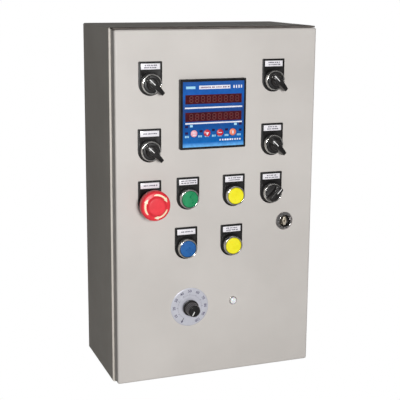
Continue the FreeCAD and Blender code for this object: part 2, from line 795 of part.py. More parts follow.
# ---- panel instrument: bezel, printed face, two filter windows, four keys, housing and clamps ----
instrument_front = door_front - controller_proud
face_size = controller_size - 2 * controller_border
face_back = instrument_front + face_thickness
key_places = [controller_x + (k - 1.5) * key_pitch for k in range(4)]
key_names = ("select_key", "raise_key", "lower_key", "enter_key")
key_z = controller_z + key_row_z


def square(size, y0, y1):
    return centred_box(controller_x, controller_z, size, size, y0, y1)


def controller_bezel():
    ring = square(controller_size, instrument_front, door_front)
    ring = ring.makeFillet(1.6, along(ring, Y))
    ring = ring.makeChamfer(0.7, [e for e in ring.Edges
                                  if all(abs(v.Point.y - instrument_front) < 1e-6 for v in e.Vertexes)])
    ring = ring.cut(square(face_size, instrument_front - 1, face_back))
    return ring.cut(square(controller_window, face_back - 1, door_front + 1))


def controller_face():
    face = square(face_size - 0.1, instrument_front, face_back)
    for dz in (display_upper_z, display_lower_z):
        face = face.cut(centred_box(controller_x, controller_z + dz, display_width, display_height,
                                    instrument_front - 1, face_back + 1))
    for x in key_places:
        face = face.cut(rod(x, key_z, instrument_front - 1, face_back + 1, key_radius + moving_gap))
    return face


def controller_housing():
    inner = square(controller_window - 0.3, door_front - 3.0, door_front)
    case = square(controller_body_size, door_front, door_front + controller_body_depth)
    case = case.makeFillet(1.0, along(case, Y))
    rear = door_front + controller_body_depth
    case = case.fuse(inner)
    for k in range(10):
        z = controller_z - 36 + 8 * k
        for sx in (-1, 1):
            case = case.cut(rod(controller_x + sx * 30, z, rear - 6, rear + 1, 2.5))
    return case


def clamp(side):
    """A screw clamp on one side of the housing that pulls the instrument against the door."""
    inner = controller_x + side * controller_body_size / 2
    outer = inner + side * 9.0
    body = box(min(inner, outer), max(inner, outer), door_inner + 4, door_inner + 40, controller_z - 9, controller_z + 9)
    foot = rod((inner + outer) / 2, controller_z, door_inner, door_inner + 46, 2.2)
    return body.fuse(foot)


nodes["controller_bezel"] = controller_bezel()
nodes["controller_face"] = controller_face()
nodes["display_windows"] = group([centred_box(controller_x, controller_z + dz, display_width - 0.1, display_height - 0.1,
                                              instrument_front, face_back) for dz in (display_upper_z, display_lower_z)])
nodes["controller_housing"] = controller_housing()
nodes["controller_clamps"] = group([clamp(side) for side in (-1, 1)])
for name, x in zip(key_names, key_places):
    nodes[name] = rod(x, key_z, instrument_front - key_travel - 0.4, door_front - 3.0 - key_travel - 0.1, key_radius)

# ---- potentiometer: printed dial, case behind the door, shaft and pointer knob ----
knob_back = door_front - pot_knob_gap
bushing_front = door_front - 4.2
shaft_front = knob_back - pot_knob_height + 5.0
shaft_back = door_inner + pot_case_depth - 6.0
nodes["dial_plate"] = tube(pot_x, pot_z, door_front - dial_thickness, door_front, dial_radius,
                           bushing_radius + hole_clearance)
pot_bore = pot_shaft_radius + running_fit
nodes["pot_body"] = turned(pot_x, pot_z, [
    (pot_bore, bushing_front), (bushing_radius, bushing_front), (bushing_radius, door_inner),
    (pot_case_radius, door_inner), (pot_case_radius, door_inner + pot_case_depth),
    (0, door_inner + pot_case_depth), (0, shaft_back + moving_gap), (pot_bore, shaft_back + moving_gap)])
nodes["pot_shaft"] = rod(pot_x, pot_z, shaft_front, shaft_back, pot_shaft_radius)
knob_front = knob_back - pot_knob_height
nodes["pot_knob"] = turned(pot_x, pot_z, [
    (bushing_radius + 0.6, knob_back), (pot_knob_skirt_radius, knob_back), (pot_knob_skirt_radius, knob_back - 2.6),
    (pot_knob_top_radius + 1.6, knob_back - 3.6), (pot_knob_top_radius + 0.4, knob_front + 0.8),
    (pot_knob_top_radius - 0.6, knob_front), (0, knob_front), (0, shaft_front), (pot_bore, shaft_front),
    (pot_bore, bushing_front - 0.6), (bushing_radius + 0.6, bushing_front - 0.6)])

# ---- pilot lamp, and the nuts of lamp, potentiometer and lock ----
lamp_front = door_front - 2.2
lamp_back = door_inner + 20.0
nodes["lamp_bezel"] = turned(lamp_x, lamp_z, [
    (0, lamp_back), (lamp_thread_radius, lamp_back), (lamp_thread_radius, door_front), (lamp_bezel_radius, door_front),
    (lamp_bezel_radius, lamp_front + 0.8), (lamp_bezel_radius - 0.8, lamp_front),
    (lamp_lens_radius, lamp_front), (lamp_lens_radius, door_front - 1.2), (0, door_front - 1.2)])
nodes["lamp_lens"] = turned(lamp_x, lamp_z, [
    (0, door_front - 1.2), (lamp_lens_radius, door_front - 1.2), (lamp_lens_radius, lamp_front - 0.4),
    (lamp_lens_radius * 0.7, lamp_front - 1.5), (0, lamp_front - 1.9)])
nodes["panel_nuts"] = group([
    hexagon(lamp_x, lamp_z, door_inner, door_inner + 3.0, 11.0, lamp_thread_radius + thread_clearance),
    hexagon(pot_x, pot_z, door_front - dial_thickness - 2.4, door_front - dial_thickness, 13.0,
            bushing_radius + thread_clearance),
    hexagon(lock_x, lock_z, door_inner, door_inner + 5.0, 27.0, lock_barrel_radius + thread_clearance)])

# ---- quarter-turn lock: housing, turning core with a double-bit drive, and a cam behind the rim ----
cam_front = body_front + sheet + moving_gap
cam_back = cam_front + cam_thickness
lock_back = cam_front - moving_gap
recess_floor = door_front - lock_flange_height + lock_recess_depth
tail_radius = 5.0
nodes["lock_housing"] = turned(lock_x, lock_z, [
    (lock_bore_radius, lock_back), (lock_barrel_radius, lock_back), (lock_barrel_radius, door_front),
    (lock_flange_radius, door_front), (lock_flange_radius, door_front - 1.2),
    (lock_flange_radius - 1.6, door_front - lock_flange_height), (lock_bore_radius, door_front - lock_flange_height)])


def lock_insert():
    core = rod(lock_x, lock_z, recess_floor, cam_front, lock_bore_radius - running_fit)
    drive = rod(lock_x, lock_z, door_front - lock_flange_height + 2.0, recess_floor, 3.2)
    wings = centred_box(lock_x, lock_z, 3.4, 12.6, door_front - lock_flange_height + 2.0, recess_floor)
    tail = rod(lock_x, lock_z, cam_front, cam_back + 1.5, tail_radius)
    socket = rod(lock_x, lock_z, door_front - lock_flange_height + 1.0, door_front - lock_flange_height + 5.0, 1.3)
    return core.fuse([drive, wings, tail]).cut(socket)


def lock_cam():
    reach = cabinet_width / 2 - rim_width + cam_overlap - lock_x
    arm = box(lock_x - cam_width / 2, lock_x + cam_width / 2, cam_front, cam_back, lock_z - reach, lock_z)
    arm = arm.fuse(rod(lock_x, lock_z, cam_front, cam_back, cam_width / 2))
    arm = arm.removeSplitter()
    return arm.cut(rod(lock_x, lock_z, cam_front - 1, cam_back + 1, tail_radius))


nodes["lock_insert"] = lock_insert()
nodes["lock_cam"] = lock_cam()

# ---- write one file for each node ----
os.makedirs("parts", exist_ok=True)
for name, shape in nodes.items():
    if not shape.isValid():
        raise ValueError(name + " is not a valid shape")
    shape.exportStep("parts/" + name + ".step")
print(len(nodes), "nodes,", sum(len(s.Solids) for s in nodes.values()), "solids")
for name, shape in nodes.items():
    print(name, len(shape.Solids), round(shape.Volume, 1))
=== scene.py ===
import json
import math
import random

import bmesh
import bpy
from mathutils import Matrix, Vector


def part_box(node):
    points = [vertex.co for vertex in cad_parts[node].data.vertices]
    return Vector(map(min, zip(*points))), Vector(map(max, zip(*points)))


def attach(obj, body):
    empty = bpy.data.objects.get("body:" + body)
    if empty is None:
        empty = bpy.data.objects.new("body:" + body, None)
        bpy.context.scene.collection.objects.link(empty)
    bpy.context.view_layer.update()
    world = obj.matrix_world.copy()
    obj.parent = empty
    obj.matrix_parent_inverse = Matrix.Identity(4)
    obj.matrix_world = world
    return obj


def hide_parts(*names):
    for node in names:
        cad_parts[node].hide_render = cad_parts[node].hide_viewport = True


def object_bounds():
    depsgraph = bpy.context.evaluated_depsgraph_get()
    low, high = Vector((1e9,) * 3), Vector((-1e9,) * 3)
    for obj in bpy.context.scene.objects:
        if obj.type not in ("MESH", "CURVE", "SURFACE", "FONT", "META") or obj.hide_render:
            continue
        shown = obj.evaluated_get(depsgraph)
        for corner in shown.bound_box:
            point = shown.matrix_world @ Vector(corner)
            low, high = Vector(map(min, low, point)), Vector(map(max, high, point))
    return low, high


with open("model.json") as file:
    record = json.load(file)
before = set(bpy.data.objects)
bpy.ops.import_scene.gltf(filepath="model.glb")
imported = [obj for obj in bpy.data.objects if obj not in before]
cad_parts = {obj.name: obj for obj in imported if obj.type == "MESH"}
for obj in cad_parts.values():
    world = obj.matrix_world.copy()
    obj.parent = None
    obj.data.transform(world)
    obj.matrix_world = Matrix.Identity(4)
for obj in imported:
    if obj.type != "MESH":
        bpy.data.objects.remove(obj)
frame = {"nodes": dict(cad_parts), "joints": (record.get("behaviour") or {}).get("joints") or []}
cad_low, cad_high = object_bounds()
mm = 0.001


# ---- Cabinet body ----
# A box folded from 1.5 mm sheet steel, welded at its corners and powder coated in a fine-textured grey, here
# a little warmer than the door's as painted shade on its shaded sides. Its front rim is turned in, and a lip
# stands forward from it for the door's seal to close on.
def tint(red, green, blue):
    """A swatch colour, 0 to 255, made linear for a shader."""
    return tuple(((c / 255 + 0.055) / 1.055) ** 2.4 if c > 10 else c / 3294.6
                 for c in (red, green, blue)) + (1.0,)


def wire(tree, kind, inputs=(), **settings):
    """Adds a node; an input takes either a value or another node's output."""
    node = tree.nodes.new(kind)
    for key, value in settings.items():
        setattr(node, key, value)
    for key, value in dict(inputs).items():
        if isinstance(value, bpy.types.NodeSocket):
            tree.links.new(value, node.inputs[key])
        else:
            node.inputs[key].default_value = value
    return node


def blank_finish(name, roughness, metallic=0.0, **shader_values):
    """A new material, its tree and its shader, with the values that are the same all over."""
    material = bpy.data.materials.new(name)
    material.use_nodes = True
    shader = material.node_tree.nodes["Principled BSDF"]
    shader.inputs["Roughness"].default_value = roughness
    shader.inputs["Metallic"].default_value = metallic
    for key, value in shader_values.items():
        shader.inputs[key.replace("_", " ")].default_value = value
    return material, material.node_tree, shader


def grain(tree, scale, detail=3.0, stretch=(1, 1, 1)):
    """Noise fixed to the piece; a large stretch on an axis makes the grain fine along it."""
    place = wire(tree, "ShaderNodeTexCoord").outputs["Object"]
    laid = wire(tree, "ShaderNodeMapping", {"Vector": place, "Scale": stretch}).outputs["Vector"]
    return wire(tree, "ShaderNodeTexNoise",
                {"Vector": laid, "Scale": scale, "Detail": detail}).outputs["Fac"]


def ranged(tree, value, low, high, start=0.35, end=0.65):
    """Spreads a noise's middle band over low to high."""
    return wire(tree, "ShaderNodeMapRange", {"Value": value, "From Min": start, "From Max": end,
                                             "To Min": low, "To Max": high}).outputs["Result"]


def between(tree, share, first, second):
    """A colour part way from first to second."""
    mixed = wire(tree, "ShaderNodeMix", data_type="RGBA")
    for index, value in ((0, share), (6, first), (7, second)):
        if isinstance(value, bpy.types.NodeSocket):
            tree.links.new(value, mixed.inputs[index])
        else:
            mixed.inputs[index].default_value = value
    return mixed.outputs[2]


def raise_surface(tree, shader, height, strength, depth):
    bump = wire(tree, "ShaderNodeBump", {"Height": height, "Strength": strength, "Distance": depth})
    tree.links.new(bump.outputs["Normal"], shader.inputs["Normal"])


def powder_coat(name, pale, dark):
    """Baked paint: faint clouding in its colour, an uneven sheen and a fine orange peel."""
    material, tree, shader = blank_finish(name, 0.5, Specular_IOR_Level=0.4)
    clouds = ranged(tree, grain(tree, 9.0, 4.0), 0.0, 1.0)
    specks = ranged(tree, grain(tree, 420.0, 2.0), 0.0, 1.0, 0.7, 0.8)
    coat = between(tree, clouds, dark, pale)
    tree.links.new(between(tree, specks, coat, dark), shader.inputs["Base Color"])
    tree.links.new(ranged(tree, grain(tree, 30.0), 0.42, 0.58), shader.inputs["Roughness"])
    raise_surface(tree, shader, grain(tree, 650.0, 2.0), 0.35, 0.15 * mm)
    return material


def dress(node, material):
    """Gives a CAD node its finish."""
    for place in frame["nodes"][node].material_slots:
        place.material = material


# Painted shade: the body's coat is a warmer copy of the door's, tinted for the warm cast of its shaded
# sides.
body_paint_warmed_for_shade = powder_coat("Body powder coat", tint(211, 205, 196), tint(203, 197, 188))
dress("cabinet_body", body_paint_warmed_for_shade)

# ---- Gland plate and its screws ----
# A loose zinc-plated plate closes the cable opening in the floor, with three round entries for glands.
# Six slotted screws hold it from inside, so it comes out when new entries are punched.


def plated_steel(name, pale, dark, roughness, along=(1, 1, 1), spangle=40.0):
    """Plated sheet: a soft spangle in its colour and fine rolling lines in its sheen."""
    material, tree, shader = blank_finish(name, roughness, 1.0)
    patches = ranged(tree, grain(tree, spangle, 3.0), 0.0, 1.0)
    tree.links.new(between(tree, patches, dark, pale), shader.inputs["Base Color"])
    lines = grain(tree, 260.0, 3.0, along)
    tree.links.new(ranged(tree, lines, roughness * 0.75, roughness * 1.3), shader.inputs["Roughness"])
    raise_surface(tree, shader, lines, 0.2, 0.04 * mm)
    return material


zinc = plated_steel("Zinc plated sheet", tint(206, 208, 205), tint(176, 180, 180), 0.36, (0.15, 1, 4))
zinc_screw = plated_steel("Zinc plated screws", tint(204, 203, 192), tint(170, 170, 160), 0.3, (3, 3, 3),
                          300.0)
dress("gland_plate", zinc)


def lathe(bm, profile, at=(0, 0), turns=48, closed=False):
    """Spins a (radius, y) outline about the Y line at (x, z)."""
    rings = []
    for radius, y in list(profile) + (list(profile[:1]) if closed else []):
        count = turns if radius > 1e-7 else 1
        rings.append([bm.verts.new((at[0] + radius * math.cos(math.tau * k / turns), y,
                                    at[1] + radius * math.sin(math.tau * k / turns))) for k in range(count)])
    for near, far in zip(rings, rings[1:]):
        for k in range(turns):
            loop = [near[k % len(near)], near[(k + 1) % len(near)], far[(k + 1) % len(far)],
                    far[k % len(far)]]
            loop = list(dict.fromkeys(loop))
            if len(loop) > 2:
                bm.faces.new(loop)


def eased(outline, radius, steps=4, closed=True):
    """Rounds the corners of an outline of (a, b) points; radius is one size, or one for each corner."""
    rounded = []
    for k, point in enumerate(outline):
        here = Vector(point)
        size = radius[k] if isinstance(radius, (list, tuple)) else radius
        if size <= 0 or (not closed and k in (0, len(outline) - 1)):
            rounded.append(tuple(here))
            continue
        back, ahead = Vector(outline[k - 1]) - here, Vector(outline[(k + 1) % len(outline)]) - here
        half = back.angle(ahead) / 2
        if half > 1.5:
            rounded.append(tuple(here))
            continue
        reach = min(size / math.tan(half), 0.48 * back.length, 0.48 * ahead.length)
        start, end = here + back.normalized() * reach, here + ahead.normalized() * reach
        for step in range(steps + 1):
            share = step / steps
            rounded.append(tuple(start.lerp(here, share).lerp(here.lerp(end, share), share)))
    return rounded


def slab(bm, outline, back, front, ease=0.0, holes=(), steps=2):
    """A flat piece cut to an (x, z) outline, from y back to y front, with its front edges eased."""
    edges = []
    for loop in [outline, *holes]:
        ring = [bm.verts.new((x, front, z)) for x, z in loop]
        edges += [bm.edges.new((ring[k - 1], ring[k])) for k in range(len(ring))]
    face = [g for g in bmesh.ops.triangle_fill(bm, edges=edges, use_beauty=True)["geom"]
            if isinstance(g, bmesh.types.BMFace)]
    grown = bmesh.ops.extrude_face_region(bm, geom=face, use_keep_orig=True)["geom"]
    bmesh.ops.translate(bm, verts=[g for g in grown if isinstance(g, bmesh.types.BMVert)],
                        vec=(0, back - front, 0))
    if ease:
        bmesh.ops.bevel(bm, geom=[e for e in edges if e.is_valid], offset=ease, segments=steps,
                        affect="EDGES",
                        profile=0.5)


def piece(name, bm, body, slot, material, *stands_for, corner=35):
    """A named piece from a worked mesh: faces outwards, curves smooth, riding on its body."""
    bmesh.ops.remove_doubles(bm, verts=bm.verts, dist=1e-6)
    bmesh.ops.recalc_face_normals(bm, faces=bm.faces)
    mesh = bpy.data.meshes.new(name)
    bm.to_mesh(mesh)
    bm.free()
    return settle(name, mesh, body, slot, material, *stands_for, corner=corner)


def settle(name, mesh, body, slot, material, *stands_for, corner=35):
    mesh.polygons.foreach_set("use_smooth", [True] * len(mesh.polygons))
    mesh.set_sharp_from_angle(angle=math.radians(corner))
    mesh.materials.clear()
    mesh.materials.append(material)
    made = bpy.data.objects.new(name, mesh)
    bpy.context.scene.collection.objects.link(made)
    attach(made, body)
    if stands_for:
        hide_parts(*stands_for)
    return made


def geometry_tree(name, *inputs):
    """An empty geometry tree with named inputs, each (name, socket type, value)."""
    tree = bpy.data.node_groups.new(name, "GeometryNodeTree")
    tree.interface.new_socket("Geometry", in_out="OUTPUT", socket_type="NodeSocketGeometry")
    tree.interface.new_socket("Centres", in_out="INPUT", socket_type="NodeSocketGeometry")
    for label, kind, value in inputs:
        socket = tree.interface.new_socket(label, in_out="INPUT", socket_type="NodeSocket" + kind)
        if value is not None:
            socket.default_value = value
    return tree, tree.nodes.new("NodeGroupInput"), tree.nodes.new("NodeGroupOutput")


def close_tree(tree, given, ending, grown):
    """Realizes what a tree has grown and gives it the finish named in its inputs."""
    real = wire(tree, "GeometryNodeRealizeInstances", {"Geometry": grown}).outputs[0]
    done = wire(tree, "GeometryNodeSetMaterial",
                {"Geometry": real, "Material": given.outputs["Finish"]}).outputs[0]
    tree.links.new(done, ending.inputs[0])


def grow(tree, centres, **values):
    """Runs a tree on some centres and returns the plain mesh."""
    mesh = bpy.data.meshes.new("centres")
    mesh.from_pydata([tuple(c) for c in centres], [], [])
    holder = bpy.data.objects.new("grower", mesh)
    bpy.context.scene.collection.objects.link(holder)
    modifier = holder.modifiers.new("grow", "NODES")
    modifier.node_group = tree
    for socket in tree.interface.items_tree:
        key = socket.name.lower().replace(" ", "_")
        if socket.in_out == "INPUT" and key in values:
            modifier[socket.identifier] = values[key]
    graph = bpy.context.evaluated_depsgraph_get()
    made = bpy.data.meshes.new_from_object(holder.evaluated_get(graph), depsgraph=graph)
    bpy.data.objects.remove(holder)
    return made


# One tree sets out every repeated part: a blank on each centre, with a seeded turn about Y.
set_out, given, ending = geometry_tree("Set out on centres", ("Blank", "Object", None),
                                       ("Finish", "Material", None),
                                       ("Most turn", "Float", 0.0), ("Seed", "Int", 7))
blank_shape = wire(set_out, "GeometryNodeObjectInfo", {"Object": given.outputs["Blank"]})
chance = wire(set_out, "FunctionNodeRandomValue",
              {2: 0.0, 3: given.outputs["Most turn"], "Seed": given.outputs["Seed"]})
about_y = wire(set_out, "ShaderNodeCombineXYZ", {"Y": chance.outputs[1]})
turned = wire(set_out, "FunctionNodeEulerToRotation", {"Euler": about_y.outputs[0]})
placed = wire(set_out, "GeometryNodeInstanceOnPoints", {"Points": given.outputs["Centres"],
                                                        "Instance": blank_shape.outputs["Geometry"],
                                                        "Rotation": turned.outputs[0]})
close_tree(set_out, given, ending, placed.outputs[0])


def repeat(name, bm, centres, body, slot, material, *stands_for, turn=0.0, seed=7, corner=35):
    """Sets a blank, made about the origin, on every centre with the tree above."""
    bmesh.ops.remove_doubles(bm, verts=bm.verts, dist=1e-6)
    bmesh.ops.recalc_face_normals(bm, faces=bm.faces)
    mesh = bpy.data.meshes.new(name + "_blank")
    bm.to_mesh(mesh)
    bm.free()
    blank = bpy.data.objects.new(name + "_blank", mesh)
    bpy.context.scene.collection.objects.link(blank)
    mesh = grow(set_out, centres, blank=blank, finish=material, most_turn=turn, seed=seed)
    bpy.data.objects.remove(blank)
    return settle(name, mesh, body, slot, material, *stands_for, corner=corner)


def screw_blank(head_radius, head_height, shank_radius, shank_length, slot_width, cross=False):
    """A pan-head screw, its head towards -Y from y 0 and its shank towards +Y, with a slot or a cross."""
    bm = bmesh.new()
    lathe(bm, [(0, shank_length), (shank_radius * 0.7, shank_length),
               (shank_radius, shank_length - 0.6 * mm),
               (shank_radius, 0), (head_radius, 0), (head_radius, -head_height * 0.45),
               (head_radius * 0.9, -head_height * 0.8), (head_radius * 0.62, -head_height),
               (slot_width / 2 + 0.2 * mm, -head_height), (slot_width / 2, -head_height * 0.45),
               (0, -head_height * 0.4)],
          turns=20)
    for turn in ((0, 1) if cross else (0,)):
        reach, half = head_radius * (0.62 if cross else 0.8), slot_width / 2
        size = (reach, half) if turn == 0 else (half, reach)
        outline = [(-size[0], -size[1]), (size[0], -size[1]), (size[0], size[1]), (-size[0], size[1])]
        slab(bm, outline, -head_height * 0.9, -head_height * 1.015)
    return bm


gland_low, gland_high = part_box("gland_screws")
screw_head = 5.0 * mm
gland_screws = [(x, y, 0) for x in (gland_low.x + screw_head, 0, gland_high.x - screw_head)
                for y in (gland_low.y + screw_head, gland_high.y - screw_head)]
upright = screw_blank(screw_head, 2.6 * mm, 2.5 * mm, gland_high.z - gland_low.z - 2.6 * mm, 1.2 * mm,
                      cross=True)
seat_z = gland_high.z - 2.6 * mm
for vertex in upright.verts:
    x, y, z = vertex.co
    vertex.co = (x, z, seat_z - y)
repeat("gland_screw_set", upright, gland_screws, "cabinet", "zinc_steel", zinc_screw, "gland_screws")

# ---- Door ----
# One sheet pressed to a shallow pan with rounded edges, in the same powder coat as the body.
# It stands proud of the rim on two concealed hinges and is punched for every control.
door_paint = powder_coat("Door powder coat", tint(211, 206, 201), tint(204, 199, 194))
dress("door_panel", door_paint)
door_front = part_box("door_panel")[0].y

# ---- Door seal ----
# A square frame of black cellular rubber stuck inside the pan; the rim's lip presses into it.
seal_foam, tree, shader = blank_finish("Cellular rubber", 0.85)
pores = ranged(tree, grain(tree, 900.0, 2.0), 0.0, 1.0, 0.45, 0.6)
tree.links.new(between(tree, pores, tint(22, 22, 23), tint(48, 48, 49)), shader.inputs["Base Color"])
raise_surface(tree, shader, pores, 0.5, 0.4 * mm)
dress("door_gasket", seal_foam)

# ---- Hinges ----
# Folded zinc-plated leaves, a goosenecked one on the rim and a forked one inside the pan, on a steel pin.
dress("hinge_body_leaves", zinc)
dress("hinge_door_leaves", zinc)
pin_steel = plated_steel("Bright pin steel", tint(190, 190, 192), tint(160, 160, 163), 0.22, (8, 8, 0.3),
                         120.0)
dress("hinge_pins", pin_steel)

# ---- Legend holders ----
# Black moulded plates, square above and round below, clamped behind each control head.
# A thin raised frame round the window holds the printed insert down.


def moulded_plastic(name, pale, dark, roughness, relief=0.03, patches=60.0, **shader_values):
    """Injection moulding: a fine eroded grain, slightly uneven sheen and a breath of dust in the colour."""
    material, tree, shader = blank_finish(name, roughness, **shader_values)
    dust = ranged(tree, grain(tree, patches, 4.0), 0.0, 1.0)
    tree.links.new(between(tree, dust, dark, pale), shader.inputs["Base Color"])
    tree.links.new(ranged(tree, grain(tree, patches * 2), roughness * 0.85, roughness * 1.2),
                   shader.inputs["Roughness"])
    raise_surface(tree, shader, grain(tree, 2200.0, 2.0), 0.4, relief * mm)
    return material


black_plastic = moulded_plastic("Black moulding", tint(25, 23, 23), tint(14, 13, 13), 0.38,
                                Specular_IOR_Level=0.35)
turning = {joint["name"]: Vector(joint["pos_m"]) for joint in frame["joints"] if joint["type"] == "hinge"}
caps = {name: (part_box(name)[0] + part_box(name)[1]) / 2 for name in
        ("green_cap", "upper_yellow_cap", "blue_cap", "lower_yellow_cap")}
selectors = [turning[name] for name in ("top_left_turn", "top_right_turn", "second_left_turn",
                                        "second_right_turn",
                                        "short_turn")]
estop_at = turning["estop_twist"]
heads = [(p.x, 0, p.z) for p in [*selectors, estop_at, *caps.values()]]
holder_low, holder_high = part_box("legend_holders")
insert_low, insert_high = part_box("legend_inserts")
half_holder = selectors[2].x - holder_low.x
holder_top = holder_high.z - selectors[0].z
barrel = 11.1 * mm
label_half = selectors[2].x - insert_low.x
label_top = insert_high.z - selectors[0].z
label_bottom = insert_low.z - caps["lower_yellow_cap"].z
bm = bmesh.new()
outline = eased([(half_holder, 0), (half_holder, holder_top), (-half_holder, holder_top),
                 (-half_holder, 0)],
                [0, 1.2 * mm, 1.2 * mm, 0])
outline += [(half_holder * math.cos(a), half_holder * math.sin(a))
            for a in (math.radians(180 + 6 * k) for k in range(1, 30))]
hole = [(barrel * math.cos(math.tau * k / 48), barrel * math.sin(math.tau * k / 48)) for k in range(48)]
window = [(label_half, label_bottom), (label_half, label_top), (-label_half, label_top),
          (-label_half, label_bottom)]
slab(bm, outline, door_front, holder_low.y, 0.45 * mm, [hole, window])
rim = 0.9 * mm
outer = [(x + math.copysign(rim, x), z + (rim if z > window[0][1] + mm else -rim)) for x, z in window]
slab(bm, eased(outer, 0.7 * mm), holder_low.y + 0.1 * mm, holder_low.y - 0.5 * mm, 0.15 * mm,
     [eased(window, 0.3 * mm)])
repeat("legend_holder_set", bm, heads, "door", "black_plastic", black_plastic, "legend_holders")

# ---- Legend inserts ----
# White card printed in grey under a clear film. The print is only rows of plain bars, and says nothing.
card, tree, shader = blank_finish("White legend card", 0.3, Coat_Weight=0.4, Coat_Roughness=0.15)
fibres = ranged(tree, grain(tree, 500.0, 3.0), 0.0, 1.0)
tree.links.new(between(tree, fibres, tint(236, 233, 238), tint(248, 246, 250)), shader.inputs["Base Color"])
bm = bmesh.new()
slab(bm, [(x * 0.995, z) for x, z in window], holder_low.y + 0.8 * mm, holder_low.y - 0.1 * mm, 0.1 * mm)
repeat("legend_insert_set", bm, heads, "door", "white_label", card, "legend_inserts")
ink, tree, shader = blank_finish("Grey legend ink", 0.45)
tree.links.new(between(tree, grain(tree, 700.0), tint(120, 116, 130), tint(86, 82, 96)),
               shader.inputs["Base Color"])
bm = bmesh.new()
letters = random.Random(12)
for number, (x, _, z) in enumerate(heads):
    middle = (label_top + label_bottom) / 2 + z
    rows = [1.5 * mm, -1.5 * mm] if number % 3 != 2 else [0.0]
    for row in rows:
        reach = label_half * letters.uniform(0.45, 0.78)
        at = x - reach
        while at < x + reach:
            wide = letters.uniform(0.9, 2.6) * mm
            slab(bm, [(at, middle + row - 0.75 * mm), (at + wide, middle + row - 0.75 * mm),
                      (at + wide, middle + row + 0.75 * mm), (at, middle + row + 0.75 * mm)],
                 holder_low.y - 0.05 * mm, holder_low.y - 0.14 * mm)
            at += wide + letters.choice((0.35, 0.35, 1.1)) * mm
piece("legend_print", bm, "door", "white_label", ink)

# ---- Control heads ----
# Turned and chromed 22 mm heads: a ring in front of the door, with a black skirt round its foot that is a
# painted reflection, dark where the chrome flank shows dark, and a threaded barrel through the door.
# The same blank carries push buttons and selectors; the emergency stop has a shorter grey one.
chrome, tree, shader = blank_finish("Bright chrome", 0.16, 1.0)
haze = ranged(tree, grain(tree, 160.0, 4.0), 0.0, 1.0)
tree.links.new(between(tree, haze, tint(188, 186, 182), tint(222, 221, 218)), shader.inputs["Base Color"])
tree.links.new(ranged(tree, grain(tree, 900.0, 2.0), 0.1, 0.24), shader.inputs["Roughness"])
head_low, head_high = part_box("button_bodies")
ring_front, ring_back, barrel_back = head_low.y, holder_low.y, head_high.y
ring_outer, ring_top, well, bore = 14.3 * mm, 13.5 * mm, 11.9 * mm, 9.2 * mm
reflection_skirt_outer, reflection_skirt_tall = 14.8 * mm, 4.4 * mm
barrel_outer = 11.0 * mm


def thread(outer, start, end, pitch=1.5 * mm, depth=0.35 * mm):
    """The crests and roots of a fine thread, as an outline along Y."""
    turns = max(2, int(abs(end - start) / pitch))
    return [(outer - (depth if k % 2 else 0),
             start + (end - start) * k / (2 * turns)) for k in range(2 * turns + 1)]


def head_blank(front, top, well_floor):
    bm = bmesh.new()
    ring = eased([(bore, well_floor), (well, well_floor), (well, front), (top, front),
                  (ring_outer, ring_back - 2.2 * mm),
                  (ring_outer, ring_back), (barrel_outer, ring_back)],
                 [0, 0, 0.5 * mm, 0.9 * mm, 0.7 * mm, 0.3 * mm, 0], closed=False)
    lathe(bm, ring + thread(barrel_outer, ring_back + 1 * mm, barrel_back) + [(bore, barrel_back),
            (bore, well_floor)])
    return bm


repeat("button_head_set", head_blank(ring_front, ring_top, ring_back - 0.6 * mm), heads[6:], "door",
       "chrome_trim",
       chrome, "button_bodies")
repeat("selector_head_set", head_blank(ring_front, ring_top, ring_back - 0.6 * mm), heads[:5], "door",
       "chrome_trim",
       chrome, "selector_bodies")
# Painted reflection: a black skirt over the back of each chrome ring, standing for the dark the flank
# reflects.
bm = bmesh.new()
lathe(bm, eased([(ring_outer - 0.6 * mm, ring_back - reflection_skirt_tall), (reflection_skirt_outer, ring_back - reflection_skirt_tall),
                 (reflection_skirt_outer, ring_back), (ring_outer - 0.6 * mm, ring_back)],
                [0.1 * mm, 0.9 * mm, 0.2 * mm, 0.1 * mm]), closed=True)
repeat("head_skirt_set", bm, [*heads[:5], *heads[6:]], "door", "black_plastic", black_plastic)
bm = bmesh.new()
collar_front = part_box("estop_collar")[0].y
lathe(bm, eased([(bore, collar_front), (ring_top, collar_front), (ring_outer, ring_back - 2.2 * mm),
                 (ring_outer, ring_back), (barrel_outer, ring_back)],
                [0.3 * mm, 0.9 * mm, 0.7 * mm, 0.3 * mm, 0], closed=False)
      + thread(barrel_outer, ring_back + 1 * mm, barrel_back) + [(bore, barrel_back), (bore, collar_front)],
      (estop_at.x, estop_at.z))
collar_grey = plated_steel("Satin grey collar", tint(150, 146, 140), tint(120, 116, 111), 0.38, (1, 1, 1),
                           90.0)
piece("estop_collar_ring", bm, "door", "dark_steel", collar_grey, "estop_collar")

# ---- Push buttons ----
# Flush caps moulded in translucent coloured plastic, sunk in the ring with a dark gap round them.


def coloured_cap(name, pale, dark):
    return moulded_plastic(name, pale, dark, 0.32, 0.02, 110.0, Coat_Weight=0.25, Coat_Roughness=0.12,
                           Subsurface_Weight=0.08, Subsurface_Scale=0.002)


